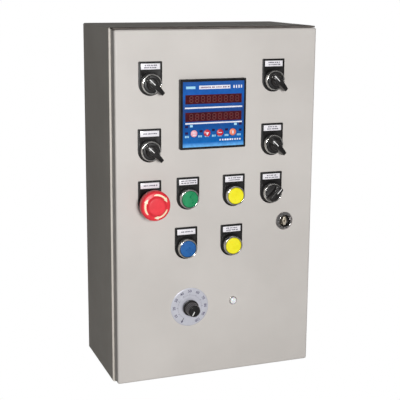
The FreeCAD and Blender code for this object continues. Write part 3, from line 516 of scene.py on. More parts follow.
cap_colours = {"green_cap": (tint(26, 152, 96), tint(18, 136, 84)),
               "blue_cap": (tint(28, 104, 176), tint(22, 88, 156)),
               "upper_yellow_cap": (tint(255, 246, 40), tint(250, 238, 26)), "lower_yellow_cap": None}
yellow_cap = coloured_cap("Yellow cap", *cap_colours["upper_yellow_cap"])
cap_finish = {"green_cap": coloured_cap("Green cap", *cap_colours["green_cap"]),
              "upper_yellow_cap": yellow_cap,
              "blue_cap": coloured_cap("Blue cap", *cap_colours["blue_cap"]),
              "lower_yellow_cap": yellow_cap}
cap_body = {"green_cap": "green_button", "upper_yellow_cap": "upper_yellow_button",
            "blue_cap": "blue_button",
            "lower_yellow_cap": "lower_yellow_button"}
for name, middle in caps.items():
    low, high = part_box(name)
    edge = (high.x - low.x) / 2
    bm = bmesh.new()
    lathe(bm, [(0, low.y), (edge * 0.55, low.y + 0.03 * mm), (edge * 0.86, low.y + 0.22 * mm)]
          + eased([(edge * 0.86, low.y + 0.22 * mm), (edge * 0.965, low.y + 0.3 * mm),
                   (edge, low.y + 1.6 * mm),
                   (edge, ring_back - 4.8 * mm), (9.15 * mm, ring_back - 4.8 * mm), (9.15 * mm, high.y),
                   (0, high.y)],
                  [0, 0.5 * mm, 0.4 * mm, 0, 0, 0.4 * mm, 0], closed=False),
          (middle.x, middle.z), 56)
    piece(name + "_moulding", bm, cap_body[name], name if "yellow" not in name else "yellow_cap",
          cap_finish[name])
    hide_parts(name)

# ---- Selector knobs ----
# Black glass-filled moulding: a disc in the ring, a rounded hub, and a grip bar across it with a white
# line inlaid along its pointer end. Four have a long lever end; the fifth is a short even bar.
knob_black = moulded_plastic("Black knob moulding", tint(32, 30, 30), tint(19, 18, 18), 0.36, 0.03, 130.0)
line_white = moulded_plastic("White pointer inlay", tint(252, 252, 250), tint(238, 238, 236), 0.35)


def grip(bm, centre, heading, sections, half_width, foot, underside=0.0):
    """A bar across a knob: sections are (place along it, height above the foot, share of its width)."""
    along = Vector((math.sin(heading), 0, math.cos(heading)))
    across = Vector((along.z, 0, -along.x))
    rings = []
    for place, height, share in sections:
        half = half_width * share
        top = foot - height
        outline = eased([(-half, foot - underside), (-half * 0.86, top), (half * 0.86, top),
                         (half, foot - underside)],
                        [0, 1.3 * mm, 1.3 * mm, 0], 4)
        rings.append([bm.verts.new(centre + along * place + across * side + Vector((0, y, 0))) for side,
                      y in outline])
    for near, far in zip(rings, rings[1:]):
        for k in range(len(near)):
            bm.faces.new([near[k - 1], near[k], far[k], far[k - 1]])
    bm.faces.new(rings[0])
    bm.faces.new(rings[-1])


def knob_disc(bm, centre, stem_back):
    front = ring_front - 0.8 * mm
    lathe(bm, eased([(0, front - 0.4 * mm), (well - 2.2 * mm, front - 0.2 * mm), (well - 0.4 * mm, front),
                     (well - 0.4 * mm, ring_back - 0.9 * mm), (bore - 0.1 * mm, ring_back - 0.9 * mm),
                     (bore - 0.1 * mm, stem_back), (0, stem_back)],
                    [0, 1 * mm, 0.5 * mm, 0.2 * mm, 0, 0.4 * mm, 0],
                    closed=False), (centre.x, centre.z), 56)


knob_of = {"top_left_knob": "top_left_turn", "top_right_knob": "top_right_turn",
           "second_left_knob": "second_left_turn", "second_right_knob": "second_right_turn"}
for name, joint in knob_of.items():
    centre = Vector((turning[joint].x, 0, turning[joint].z))
    low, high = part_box(name)
    body, foot, tall = joint.replace("_turn",
                                     "_selector"), ring_front - 0.6 * mm, ring_front - 0.75 * mm - low.y
    lever = (high.x - centre.x) * math.sqrt(2) - 1.9 * mm
    bm = bmesh.new()
    knob_disc(bm, centre, high.y)
    lathe(bm, eased([(0, low.y + 5.2 * mm), (6.4 * mm, low.y + 5.4 * mm), (8.6 * mm, foot), (0, foot)],
                    [0, 2.2 * mm, 0, 0], closed=False), (centre.x, centre.z), 40)
    grip(bm, centre, math.radians(135),
         [(lever, 0.56 * tall, 0.52), (lever - 0.9 * mm, 0.7 * tall, 0.66),
          (lever * 0.72, 0.85 * tall, 0.74),
          (lever * 0.4, 0.97 * tall, 0.84), (0, tall, 1.0), (-5.5 * mm, tall, 1.0),
          (-8.6 * mm, 0.97 * tall, 0.96),
          (-10.2 * mm, 0.9 * tall, 0.86), (-10.9 * mm, 0.7 * tall, 0.66)], 4.5 * mm, foot)
    piece(name + "_grip", bm, body, "knob_black", knob_black, name)
    bm = bmesh.new()
    grip(bm, centre, math.radians(135),
         [(-10.4 * mm, 0.9 * tall, 1), (-8.7 * mm, 0.97 * tall + 0.12 * mm, 1),
          (-5.5 * mm, tall + 0.1 * mm, 1),
          (-0.3 * mm, tall + 0.1 * mm, 1)], 1.25 * mm, foot, 0.75 * tall)
    piece(name + "_line", bm, body, "white_label", line_white)

centre = Vector((turning["short_turn"].x, 0, turning["short_turn"].z))
low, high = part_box("short_knob")
foot, tall = ring_front - 0.6 * mm, ring_front - 0.6 * mm - low.y
bm = bmesh.new()
knob_disc(bm, centre, high.y)
grip(bm, centre, math.radians(45),
     [(-12.4 * mm, 0.55 * tall, 0.7), (-11.8 * mm, 0.86 * tall, 0.86), (-10.2 * mm, 0.97 * tall, 0.94),
      (-7 * mm, tall, 1),
      (7 * mm, tall, 1), (10.2 * mm, 0.97 * tall, 0.94), (11.8 * mm, 0.86 * tall, 0.86),
      (12.4 * mm, 0.55 * tall, 0.7)],
     4.5 * mm, foot)
piece("short_knob_grip", bm, "short_selector", "knob_black", knob_black, "short_knob")
bm = bmesh.new()
grip(bm, centre, math.radians(45),
     [(1.5 * mm, tall + 0.1 * mm, 1), (7 * mm, tall + 0.1 * mm, 1), (10.3 * mm, 0.97 * tall + 0.12 * mm, 1),
      (11.9 * mm, 0.84 * tall, 1)], 1.2 * mm, foot, 0.7 * tall)
piece("short_knob_line", bm, "short_selector", "white_label", line_white)

# ---- Emergency stop ----
# A red mushroom, pushed in to stop and twisted clockwise to release, as its three pale arrows say.
# Its raised middle stands in a shallow trough; a black plunger carries it through the collar.
red_plastic = moulded_plastic("Red mushroom moulding", tint(246, 58, 70), tint(232, 44, 58), 0.42, 0.02,
                              90.0,
                              Coat_Weight=0.12, Coat_Roughness=0.3)
low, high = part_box("estop_mushroom")
edge, front, neck = (high.x - low.x) / 2, low.y, high.y
crown = eased([(0, front), (edge * 0.53, front + 0.3 * mm), (edge * 0.61, front + 1.5 * mm),
               (edge * 0.68, front + 3.0 * mm),
               (edge * 0.9, front + 4.1 * mm), (edge, front + 6.4 * mm), (edge, neck - 4.6 * mm),
               (edge - 1.5 * mm, neck - 3.0 * mm), (12.5 * mm, neck - 3.0 * mm), (12.5 * mm, neck),
               (6.1 * mm, neck)],
              [0, 1.6 * mm, 0.8 * mm, 0.9 * mm, 3.0 * mm, 2.0 * mm, 0.5 * mm, 0.5 * mm, 0.4 * mm, 0.2 * mm,
               0],
              closed=False)
bm = bmesh.new()
stub_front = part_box("estop_plunger")[0].y
lathe(bm, crown + [(6.1 * mm, stub_front - 0.25 * mm), (0, stub_front - 0.25 * mm)],
      (estop_at.x, estop_at.z), 72)
piece("estop_mushroom_cap", bm, "estop_head", "red_cap", red_plastic, "estop_mushroom")


def crown_height(radius):
    """How far forward the crown stands at a radius."""
    for (r0, y0), (r1, y1) in zip(crown, crown[1:]):
        if r0 <= radius <= r1 and r1 > r0:
            return y0 + (y1 - y0) * (radius - r0) / (r1 - r0)
    return front


def arrow_on_crown(bm, start, sweep, inner, outer, lift=0.12 * mm):
    """A band that runs clockwise from start, in clock degrees, and ends in a head; it follows the crown."""
    middle, half = (inner + outer) / 2, (outer - inner) / 2
    rows = [(start + sweep * 0.74 * k / 16, half * min(1, 0.45 + k / 6)) for k in range(17)]
    rows += [(start + sweep * 0.74, half * 2.0), (start + sweep * 0.87, half * 1.15),
             (start + sweep, half * 0.05)]
    rings = []
    for angle, reach in rows:
        a, ring = math.radians(angle), []
        for share in (-1, -0.5, 0, 0.5, 1):
            radius = middle + share * reach
            ring.append(bm.verts.new((estop_at.x + radius * math.sin(a), crown_height(radius) - lift,
                                      estop_at.z + radius * math.cos(a))))
        rings.append(ring)
    made = [bm.faces.new([near[k], near[k + 1], far[k + 1], far[k]])
            for near, far in zip(rings, rings[1:]) for k in range(4)]
    grown = bmesh.ops.extrude_face_region(bm, geom=made, use_keep_orig=True)["geom"]
    bmesh.ops.translate(bm, verts=[g for g in grown if isinstance(g, bmesh.types.BMVert)],
                        vec=(0, 0.3 * mm, 0))


cream = moulded_plastic("Cream arrow inlay", tint(255, 246, 214), tint(244, 230, 190), 0.35)
bm = bmesh.new()
for start in (-12, 108, 228):
    arrow_on_crown(bm, start, 84, edge * 0.7, edge * 0.82)
piece("estop_arrows", bm, "estop_head", "red_cap", cream)
low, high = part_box("estop_plunger")
bm = bmesh.new()
lathe(bm, eased([(0, low.y), (5.9 * mm, low.y), (5.9 * mm, neck + 0.35 * mm), (9.1 * mm, neck + 0.35 * mm),
                 (9.1 * mm, high.y), (0, high.y)], [0, 0.4 * mm, 0, 0.5 * mm, 0.5 * mm, 0], closed=False),
      (estop_at.x, estop_at.z))
piece("estop_plunger_stem", bm, "estop_slider", "black_plastic", black_plastic, "estop_plunger")

# ---- Panel instrument ----
# A 96 mm square instrument: black frame, blue printed face, two dark red filter windows with their
# unlit digits showing faintly, and four round keys with small status windows between them.
frame_plastic = moulded_plastic("Black instrument frame", tint(20, 20, 24), tint(11, 11, 14), 0.34,
                                Specular_IOR_Level=0.35)
dress("controller_bezel", frame_plastic)
face_low, face_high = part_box("controller_face")
face_mid = (face_low + face_high) / 2
face_half = (face_high.x - face_low.x) / 2
panel_blue, tree, shader = blank_finish("Blue printed film", 0.2, Coat_Weight=0.5, Coat_Roughness=0.08)
height = wire(tree, "ShaderNodeSeparateXYZ",
              {"Vector": wire(tree, "ShaderNodeTexCoord").outputs["Object"]}).outputs["Z"]
shade = wire(tree, "ShaderNodeMapRange", {"Value": height, "From Min": face_low.z, "From Max": face_high.z})
ramp = wire(tree, "ShaderNodeValToRGB", {"Fac": shade.outputs["Result"]}).color_ramp
tones = [(0.0, tint(120, 196, 255)), (0.04, tint(84, 160, 235)), (0.07, tint(10, 108, 190)),
         (0.3, tint(20, 84, 160)),
         (0.55, tint(36, 74, 140)), (0.8, tint(30, 100, 190)), (1.0, tint(38, 92, 170))]
ramp.elements[0].position, ramp.elements[0].color = tones[0]
ramp.elements[1].position, ramp.elements[1].color = tones[-1]
for place, colour in tones[1:-1]:
    ramp.elements.new(place).color = colour
mottle = ranged(tree, grain(tree, 240.0, 3.0), 0.0, 0.22)
tree.links.new(between(tree, mottle, ramp.id_data.nodes["Color Ramp"].outputs["Color"], tint(12, 60, 130)),
               shader.inputs["Base Color"])
tree.links.new(ranged(tree, grain(tree, 80.0), 0.14, 0.26), shader.inputs["Roughness"])
dress("controller_face", panel_blue)

filter_red, tree, shader = blank_finish("Dark red filter", 0.12, Coat_Weight=0.6, Coat_Roughness=0.05)
smoke = ranged(tree, grain(tree, 120.0, 3.0, (1, 1, 2)), 0.0, 1.0)
tree.links.new(between(tree, smoke, tint(66, 22, 30), tint(90, 27, 34)), shader.inputs["Base Color"])
dress("display_windows", filter_red)
window_low, window_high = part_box("display_windows")
window_tall = 12.5 * mm
window_mids = (window_high.z - window_tall / 2, window_low.z + window_tall / 2)

# Digits come from one tree: seven bars to a figure, repeated along a row.
digit_tree, given, ending = geometry_tree("Unlit digits", ("Finish", "Material", None),
                                          ("Digit height", "Float", 8 * mm),
                                          ("Digit width", "Float", 4.4 * mm), ("Stroke", "Float", 1.2 * mm),
                                          ("Pitch", "Float", 8.4 * mm), ("Count", "Int", 9))


def scaled(tree, first, second, operation="MULTIPLY"):
    return wire(tree, "ShaderNodeMath", {0: first, 1: second}, operation=operation).outputs[0]


joined = wire(digit_tree, "GeometryNodeJoinGeometry")
tall, wide, stroke = (given.outputs[name] for name in ("Digit height", "Digit width", "Stroke"))
for upright_bar, side, level in ((False, 0, 0), (False, 0, 0.5), (False, 0, -0.5), (True, -0.5, 0.25),
                                 (True, 0.5, 0.25),
                                 (True, -0.5, -0.25), (True, 0.5, -0.25)):
    long_side = scaled(digit_tree, tall, 0.4) if upright_bar else scaled(digit_tree, wide, 0.8)
    size = wire(digit_tree, "ShaderNodeCombineXYZ",
                {"X": stroke if upright_bar else long_side, "Y": 0.1 * mm,
                                                     "Z": long_side if upright_bar else stroke})
    bar = wire(digit_tree, "GeometryNodeMeshCube", {"Size": size.outputs[0]})
    where = wire(digit_tree, "ShaderNodeCombineXYZ", {"X": scaled(digit_tree, wide, side),
                                                      "Z": scaled(digit_tree, tall, level)})
    moved = wire(digit_tree, "GeometryNodeTransform",
                 {"Geometry": bar.outputs["Mesh"], "Translation": where.outputs[0]})
    digit_tree.links.new(moved.outputs[0], joined.inputs[0])
step = wire(digit_tree, "ShaderNodeCombineXYZ", {"X": given.outputs["Pitch"]})
row = wire(digit_tree, "GeometryNodeMeshLine", {"Count": given.outputs["Count"], "Offset": step.outputs[0]})
per_row = wire(digit_tree, "GeometryNodeInstanceOnPoints",
               {"Points": row.outputs[0], "Instance": joined.outputs[0]})
per_window = wire(digit_tree, "GeometryNodeInstanceOnPoints", {"Points": given.outputs["Centres"],
                                                               "Instance": per_row.outputs[0]})
close_tree(digit_tree, given, ending, per_window.outputs[0])
unlit = moulded_plastic("Unlit digit bars", tint(98, 34, 34), tint(86, 29, 32), 0.4)
starts = [(face_mid.x - 32.6 * mm, window_low.y - 0.03 * mm, z) for z in window_mids]
settle("display_digits", grow(digit_tree, starts, finish=unlit), "door", "display_red", unlit)

# The film's print: a plain pale tab, a white strip with bars, rules under the windows, small
# dashes for captions, and dark status windows. Each is a thin layer on the film.
print_white = moulded_plastic("White film print", tint(244, 244, 250), tint(226, 228, 240), 0.3)
print_cyan = moulded_plastic("Pale cyan film print", tint(176, 226, 246), tint(140, 204, 236), 0.3)
print_dark = moulded_plastic("Violet status windows", tint(44, 22, 78), tint(30, 16, 58), 0.2)
print_plum = moulded_plastic("Plum strip print", tint(150, 110, 140), tint(110, 84, 120), 0.4)
film = face_low.y


def printed(bm, left, right, bottom, top, lean=0.0, lift=0.06 * mm):
    """A printed rectangle, in shares of the face from its lower left corner."""
    x0, x1 = (face_low.x + share * 2 * face_half for share in (left, right))
    z0, z1 = (face_low.z + share * 2 * face_half for share in (bottom, top))
    slab(bm, [(x0, z0), (x1, z0), (x1 + lean, z1), (x0 + lean, z1)], film + 0.02 * mm, film - lift)


bm = bmesh.new()
printed(bm, 0.26, 0.77, 0.885, 0.94)
printed(bm, 0.03, 0.97, 0.592, 0.614)
printed(bm, 0.04, 0.97, 0.356, 0.376)
rules = random.Random(4)
for left, count, wide, bottom, top in ((0.82, 4, 0.03, 0.89, 0.935), (0.60, 9, 0.034, 0.083, 0.108)):
    for k in range(count):
        printed(bm, left + k * 0.041, left + k * 0.041 + wide * rules.uniform(0.6, 1), bottom, top)
piece("film_print_white", bm, "door", "panel_blue", print_white)
bm = bmesh.new()
printed(bm, 0.05, 0.2, 0.893, 0.932)
for left in (0.035, 0.25, 0.355, 0.475, 0.57, 0.685, 0.89):
    for k in range(3):
        printed(bm, left + k * 0.022, left + k * 0.022 + 0.017, 0.15, 0.18)
printed(bm, 0.115, 0.16, 0.31, 0.345)
printed(bm, 0.84, 0.885, 0.315, 0.35)
piece("film_print_cyan", bm, "door", "panel_blue", print_cyan)
bm = bmesh.new()
for left, bottom, size in ((0.035, 0.2, 0.05), (0.27, 0.225, 0.05), (0.475, 0.235, 0.045),
                           (0.69, 0.235, 0.05),
                           (0.92, 0.22, 0.045), (0.92, 0.315, 0.045), (0.035, 0.3, 0.05)):
    printed(bm, left, left + size, bottom, bottom + 0.035)
piece("film_status_windows", bm, "door", "panel_blue", print_dark)
bm = bmesh.new()
at = 0.285
while at < 0.74:
    wide = rules.uniform(0.012, 0.03)
    printed(bm, at, at + wide, 0.902, 0.922, lift=0.1 * mm)
    at += wide + rules.choice((0.006, 0.006, 0.02))
piece("film_strip_bars", bm, "door", "panel_blue", print_plum)

# Keys are domed rubber buttons that stand just proud of the film, two of them with a printed sign.
key_finish = {"select_key": moulded_plastic("Pink key", tint(240, 176, 190), tint(226, 140, 160), 0.4),
              "raise_key": moulded_plastic("Red key", tint(214, 44, 62), tint(196, 30, 52), 0.4),
              "enter_key": moulded_plastic("Orange key", tint(248, 150, 120), tint(236, 120, 92), 0.4)}
key_finish["lower_key"] = key_finish["raise_key"]
key_slot = {"select_key": "key_pink", "raise_key": "key_red", "lower_key": "key_red",
            "enter_key": "key_orange"}
for name, material in key_finish.items():
    low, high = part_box(name)
    x, z, edge = (low.x + high.x) / 2, (low.z + high.z) / 2, (high.x - low.x) / 2
    bm = bmesh.new()
    lathe(bm, eased([(0, low.y), (edge * 0.6, low.y + 0.06 * mm), (edge, low.y + 0.5 * mm), (edge, high.y),
                     (0, high.y)],
                    [0, 0.8 * mm, 0.4 * mm, 0.2 * mm, 0], closed=False), (x, z), 32)
    piece(name + "_dome", bm, name.replace("_key", "_button"), key_slot[name], material, name)
    sign = {"select_key": [(-2.2, -2.6, 2.2, -1.4), (-2.2, 0.6, 2.2, 1.8)],
            "raise_key": [(-2.3, -0.4, 2.3, 1.2), (-0.9, -2.6, 0.9, -0.4)],
            "lower_key": [(-2.6, -0.6, 2.6, 0.6)], "enter_key": [(-1.0, -2.2, 1.0, 2.2)]}[name]
    bm = bmesh.new()
    for x0, z0, x1, z1 in sign:
        outline = [(x + x0 * mm, z + z0 * mm), (x + x1 * mm, z + z0 * mm), (x + x1 * mm, z + z1 * mm),
                   (x + x0 * mm, z + z1 * mm)]
        slab(bm, eased(outline, 0.4 * mm), low.y + 0.3 * mm, low.y - 0.05 * mm)
    piece(name + "_sign", bm, name.replace("_key", "_button"), key_slot[name], print_white)

# ---- Speed dial and its knob ----
# A round silver plate printed with a 0 to 100 scale over 300 degrees, under a black pointer knob with a
# ribbed skirt. The shaft and case of the potentiometer stand behind it, held by one thin nut.
dial_low, dial_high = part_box("dial_plate")
dial_mid = (dial_low + dial_high) / 2
dial_edge = (dial_high.x - dial_low.x) / 2
silver, tree, shader = blank_finish("Silver dial plate", 0.36, 0.3)
rings = wire(tree, "ShaderNodeTexCoord").outputs["Object"]
centred = wire(tree, "ShaderNodeMapping", {"Vector": rings,
                                           "Location": (-dial_mid.x, 0, -dial_mid.z)}).outputs["Vector"]
turnings = wire(tree, "ShaderNodeTexWave",
                {"Vector": centred, "Scale": 420.0, "Distortion": 0.6, "Detail": 2.0},
                wave_type="RINGS", rings_direction="Y")
tree.links.new(between(tree, grain(tree, 70.0, 4.0), tint(204, 205, 216), tint(222, 222, 231)),
               shader.inputs["Base Color"])
tree.links.new(ranged(tree, turnings.outputs["Fac"], 0.28, 0.42, 0.0, 1.0), shader.inputs["Roughness"])
raise_surface(tree, shader, turnings.outputs["Fac"], 0.15, 0.02 * mm)
bm = bmesh.new()
post = 5.1 * mm
lathe(bm, eased([(post, dial_high.y), (post, dial_low.y), (dial_edge - 0.9 * mm, dial_low.y),
                 (dial_edge, dial_low.y + 0.5 * mm), (dial_edge, dial_high.y)],
                [0, 0.15 * mm, 0.4 * mm, 0.2 * mm, 0]),
      (dial_mid.x, dial_mid.z), 96, closed=True)
piece("dial_disc", bm, "door", "dial_silver", silver, "dial_plate")

# Ticks grow from a tree: a bar on each point of an arc, turned to face the middle.
tick_tree, given, ending = geometry_tree("Dial ticks", ("Finish", "Material", None),
                                         ("Radius", "Float", 20 * mm),
                                         ("Tick length", "Float", 2 * mm),
                                         ("Tick width", "Float", 0.4 * mm),
                                         ("Count", "Int", 11), ("First angle", "Float", math.radians(210)),
                                         ("Sweep", "Float", math.radians(300)))
number = wire(tick_tree, "GeometryNodeInputIndex").outputs[0]
steps = scaled(tick_tree, given.outputs["Count"], 1.0, "SUBTRACT")
angle = scaled(tick_tree, given.outputs["First angle"],
               scaled(tick_tree, scaled(tick_tree, number, steps, "DIVIDE"), given.outputs["Sweep"]), "ADD")
arc = wire(tick_tree, "GeometryNodeMeshLine", {"Count": given.outputs["Count"]}).outputs[0]
spot = wire(tick_tree, "ShaderNodeCombineXYZ", {
    "X": scaled(tick_tree, scaled(tick_tree, angle, 0.0, "SINE"), given.outputs["Radius"]),
    "Z": scaled(tick_tree, scaled(tick_tree, angle, 0.0, "COSINE"), given.outputs["Radius"])})
laid = wire(tick_tree, "GeometryNodeSetPosition", {"Geometry": arc, "Position": spot.outputs[0]}).outputs[0]
bar_size = wire(tick_tree, "ShaderNodeCombineXYZ", {"X": given.outputs["Tick width"], "Y": 0.1 * mm,
                                                    "Z": given.outputs["Tick length"]})
bar = wire(tick_tree, "GeometryNodeMeshCube", {"Size": bar_size.outputs[0]}).outputs["Mesh"]
heading = wire(tick_tree, "FunctionNodeEulerToRotation",
               {"Euler": wire(tick_tree, "ShaderNodeCombineXYZ", {"Y": angle}).outputs[0]}).outputs[0]
ring = wire(tick_tree, "GeometryNodeInstanceOnPoints",
            {"Points": laid, "Instance": bar, "Rotation": heading}).outputs[0]
on_dial = wire(tick_tree, "GeometryNodeInstanceOnPoints",
               {"Points": given.outputs["Centres"], "Instance": ring}).outputs[0]
close_tree(tick_tree, given, ending, on_dial)
scale_ink = moulded_plastic("Violet grey scale ink", tint(104, 100, 128), tint(84, 80, 108), 0.4)
on_plate = [(dial_mid.x, dial_low.y - 0.02 * mm, dial_mid.z)]
settle("dial_ticks", grow(tick_tree, on_plate, finish=scale_ink, radius=18.4 * mm, count=11,
                          tick_length=2.6 * mm),
       "door", "dial_silver", scale_ink)
settle("dial_small_ticks", grow(tick_tree, on_plate, finish=scale_ink, radius=17.8 * mm, count=51,
                                tick_length=1.2 * mm, tick_width=0.25 * mm), "door", "dial_silver",
       scale_ink)
start_ink = moulded_plastic("Black start mark", tint(50, 46, 54), tint(36, 32, 40), 0.4)
settle("dial_start_mark", grow(tick_tree, on_plate, finish=start_ink, radius=21.5 * mm, count=2,
                               tick_length=6.0 * mm,
                               tick_width=0.9 * mm, sweep=math.tau), "door", "dial_silver", start_ink)
bm = bmesh.new()
for step in range(11):
    clock = math.radians(210 + 30 * step)
    figure = bpy.data.curves.new("figure", "FONT")
    figure.body, figure.size, figure.align_x, figure.align_y = str(10 * step), 5.4 * mm, "CENTER", "CENTER"
    figure.extrude, figure.resolution_u, figure.offset = 0.05 * mm, 2, 0.12 * mm
    writer = bpy.data.objects.new("figure", figure)
    bpy.context.scene.collection.objects.link(writer)
    bpy.context.view_layer.update()
    flat = bpy.data.meshes.new_from_object(writer.evaluated_get(bpy.context.evaluated_depsgraph_get()))
    stand = (Matrix.Translation((dial_mid.x, dial_low.y - 0.03 * mm, dial_mid.z)) @ Matrix.Rotation(clock,
            4, "Y")
             @ Matrix.Translation((0, 0, 23.4 * mm)) @ Matrix.Rotation(math.radians(90), 4, "X"))
    flat.transform(stand)
    bm.from_mesh(flat)
    bpy.data.objects.remove(writer)
piece("dial_figures", bm, "door", "dial_silver", scale_ink)

knob_low, knob_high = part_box("pot_knob")
spindle = ((knob_low.x + knob_high.x) / 2, (knob_low.z + knob_high.z) / 2)
skirt, crest = (knob_high.x - knob_low.x) / 2, knob_low.y
gloss_black = moulded_plastic("Gloss black knob", tint(34, 32, 32), tint(18, 17, 18), 0.16, 0.01, 150.0,
                              Coat_Weight=0.3, Coat_Roughness=0.06)
bm = bmesh.new()
lathe(bm, eased([(5.3 * mm, knob_high.y), (skirt - 0.4 * mm, knob_high.y),
                 (skirt - 0.4 * mm, knob_high.y - 2.6 * mm),
                 (9.6 * mm, knob_high.y - 3.6 * mm), (8.3 * mm, crest + 1.0 * mm),
                 (7.2 * mm, crest + 0.1 * mm), (0, crest + 0.1 * mm)],
                [0, 0.4 * mm, 0.8 * mm, 0.5 * mm, 0.5 * mm, 0.5 * mm, 0], closed=False)
      + [(0, crest + 5 * mm), (3.05 * mm, crest + 5 * mm), (3.05 * mm, knob_high.y - 0.9 * mm),
         (5.3 * mm, knob_high.y - 0.9 * mm),
         (5.3 * mm, knob_high.y)], spindle, 64)
piece("speed_knob", bm, "pot_spindle", "knob_black", gloss_black, "pot_knob")
flutes = bmesh.new()
for k in range(30):
    turn = math.tau * k / 30
    out, side = Vector((math.sin(turn), 0, math.cos(turn))), Vector((math.cos(turn), 0, -math.sin(turn)))
    ring = []
    for radius, y in ((9.7 * mm, knob_high.y - 3.7 * mm), (8.6 * mm, crest + 2.0 * mm)):
        ring.append([flutes.verts.new(out * (radius + up * mm) + side * across * mm
                                      + Vector((spindle[0], y, spindle[1])))
                     for across, up in ((-0.45, -0.5), (-0.3, 0.15), (0.0, 0.3), (0.3, 0.15),
                                        (0.45, -0.5))])
    for side_of in range(5):
        flutes.faces.new([ring[0][side_of - 1], ring[0][side_of], ring[1][side_of], ring[1][side_of - 1]])
    flutes.faces.new(ring[0])
    flutes.faces.new(ring[1])
# The flutes are coloured a lighter grey-brown than the black knob.
knob_grey = moulded_plastic("Grey-brown knob flutes", tint(112, 104, 98), tint(86, 80, 76), 0.34, 0.02, 200.0)
piece("speed_knob_flutes", flutes, "pot_spindle", "knob_black", knob_grey)
bm = bmesh.new()
clock = math.radians(210)
toward, across = Vector((math.sin(clock), 0, math.cos(clock))), Vector((math.cos(clock), 0,
        -math.sin(clock)))
middle = Vector((spindle[0], 0, spindle[1]))
corners = [middle + toward * a * mm + across * b * mm for a,
           b in ((0.6, -0.55), (6.9, -0.55), (6.9, 0.55), (0.6, 0.55))]
slab(bm, [(c.x, c.z) for c in corners], crest + 0.3 * mm, crest + 0.02 * mm)
piece("speed_knob_line", bm, "pot_spindle", "white_label", line_white)
shaft_steel = plated_steel("Turned shaft steel", tint(178, 176, 172), tint(150, 148, 145), 0.25, (1, 20, 1),
                           200.0)
dress("pot_shaft", shaft_steel)
dress("pot_body", black_plastic)

# ---- Pilot lamp ----
# A small white lens, moulded with a soft dome, in a thin bright ring.
lamp_low, lamp_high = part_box("lamp_bezel")
lamp_at = ((lamp_low.x + lamp_high.x) / 2, (lamp_low.z + lamp_high.z) / 2)
lamp_edge = (lamp_high.x - lamp_low.x) / 2
bm = bmesh.new()
lathe(bm, eased([(4.85 * mm, door_front - 1.2 * mm), (4.85 * mm, lamp_low.y),
                 (lamp_edge - 0.8 * mm, lamp_low.y),
                 (lamp_edge, door_front), (4.0 * mm, door_front)], [0, 0.25 * mm, 0.5 * mm, 0, 0],
                closed=False)
      + thread(4.0 * mm, door_front + 0.5 * mm, lamp_high.y, 1 * mm, 0.2 * mm)
      + [(0, lamp_high.y), (0, door_front - 1.2 * mm), (4.85 * mm, door_front - 1.2 * mm)], lamp_at, 40)
piece("lamp_ring", bm, "door", "chrome_trim", chrome, "lamp_bezel")
lamp_white, tree, shader = blank_finish("White lamp lens", 0.16, Coat_Weight=0.6, Coat_Roughness=0.04,
                                        Subsurface_Weight=0.2, Subsurface_Scale=0.003)
tree.links.new(between(tree, grain(tree, 400.0), tint(240, 240, 248), tint(255, 255, 255)),
               shader.inputs["Base Color"])
bm = bmesh.new()
lens_low, lens_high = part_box("lamp_lens")
lens = (lens_high.x - lens_low.x) / 2
lathe(bm, [(0, lens_high.y), (lens - 0.05 * mm, lens_high.y), (lens - 0.05 * mm, lamp_low.y - 0.3 * mm)]
      + [(lens * math.cos(a) - 0.05 * mm * (k < 6),
          lamp_low.y - 0.3 * mm - (lamp_low.y - 0.3 * mm - lens_low.y) * math.sin(a))
         for k, a in ((k, math.radians(15 * k)) for k in range(1, 7))][:-1] + [(0, lens_low.y)], lamp_at,
      32)
piece("lamp_dome", bm, "door", "lamp_white", lamp_white, "lamp_lens")

# ---- Quarter-turn lock ----
# A chromed housing with a domed flange whose notches are flat black marks, painted shade rather than cuts;
# inside it a turning core carries the double-bit key drive, and behind the door a zinc cam swings in behind
# the rim.
lock_low, lock_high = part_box("lock_housing")
lock_at = (turning["lock_turn"].x, turning["lock_turn"].z)
flange, throat = (lock_high.x - lock_low.x) / 2, 8.4 * mm
dark_chrome, tree, shader = blank_finish("Smoked chrome", 0.14, 1.0)
tree.links.new(between(tree, ranged(tree, grain(tree, 200.0, 4.0), 0.0, 1.0), tint(158, 154, 155),
                       tint(205, 203, 202)),
               shader.inputs["Base Color"])
tree.links.new(ranged(tree, grain(tree, 900.0, 2.0), 0.1, 0.22), shader.inputs["Roughness"])
bm = bmesh.new()
lathe(bm, eased([(throat, lock_low.y + 1.2 * mm), (throat + 0.9 * mm, lock_low.y),
                 (flange - 3.4 * mm, lock_low.y),
                 (flange, door_front - 1.6 * mm), (flange, door_front), (10.8 * mm, door_front)],
                [0.2 * mm, 0.4 * mm, 2.2 * mm, 1.2 * mm, 0.2 * mm, 0], closed=False)
      + thread(10.8 * mm, door_front + 0.8 * mm, lock_high.y - 0.4 * mm) + [(throat, lock_high.y),
              (throat, lock_low.y + 1.2 * mm)],
      lock_at, 64)
piece("lock_barrel", bm, "door", "chrome_trim", dark_chrome, "lock_housing")
# Painted shade: each notch is a thin black patch on the flange, standing for the shadow in a recess.
bm = bmesh.new()
for k in range(12):
    a = math.tau * (k + 0.5) / 12
    corners = [(lock_at[0] + r * math.cos(a + w), lock_at[1] + r * math.sin(a + w))
               for r, w in ((throat + 1.1 * mm, -0.05), (flange - 2.6 * mm, -0.05),
                            (flange - 2.6 * mm, 0.05), (throat + 1.1 * mm, 0.05))]
    slab(bm, corners, lock_low.y + 0.4 * mm, lock_low.y - 0.02 * mm)
piece("lock_notches", bm, "door", "chrome_trim", black_plastic)
core_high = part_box("lock_insert")[1]
cast_zinc, tree, shader = blank_finish("Cast key drive", 0.4, 0.85)
tree.links.new(between(tree, ranged(tree, grain(tree, 300.0, 4.0), 0.0, 1.0), tint(196, 184, 164),
                       tint(236, 226, 210)),
               shader.inputs["Base Color"])
raise_surface(tree, shader, grain(tree, 1400.0), 0.3, 0.05 * mm)
recess = lock_low.y + 12 * mm
bm = bmesh.new()
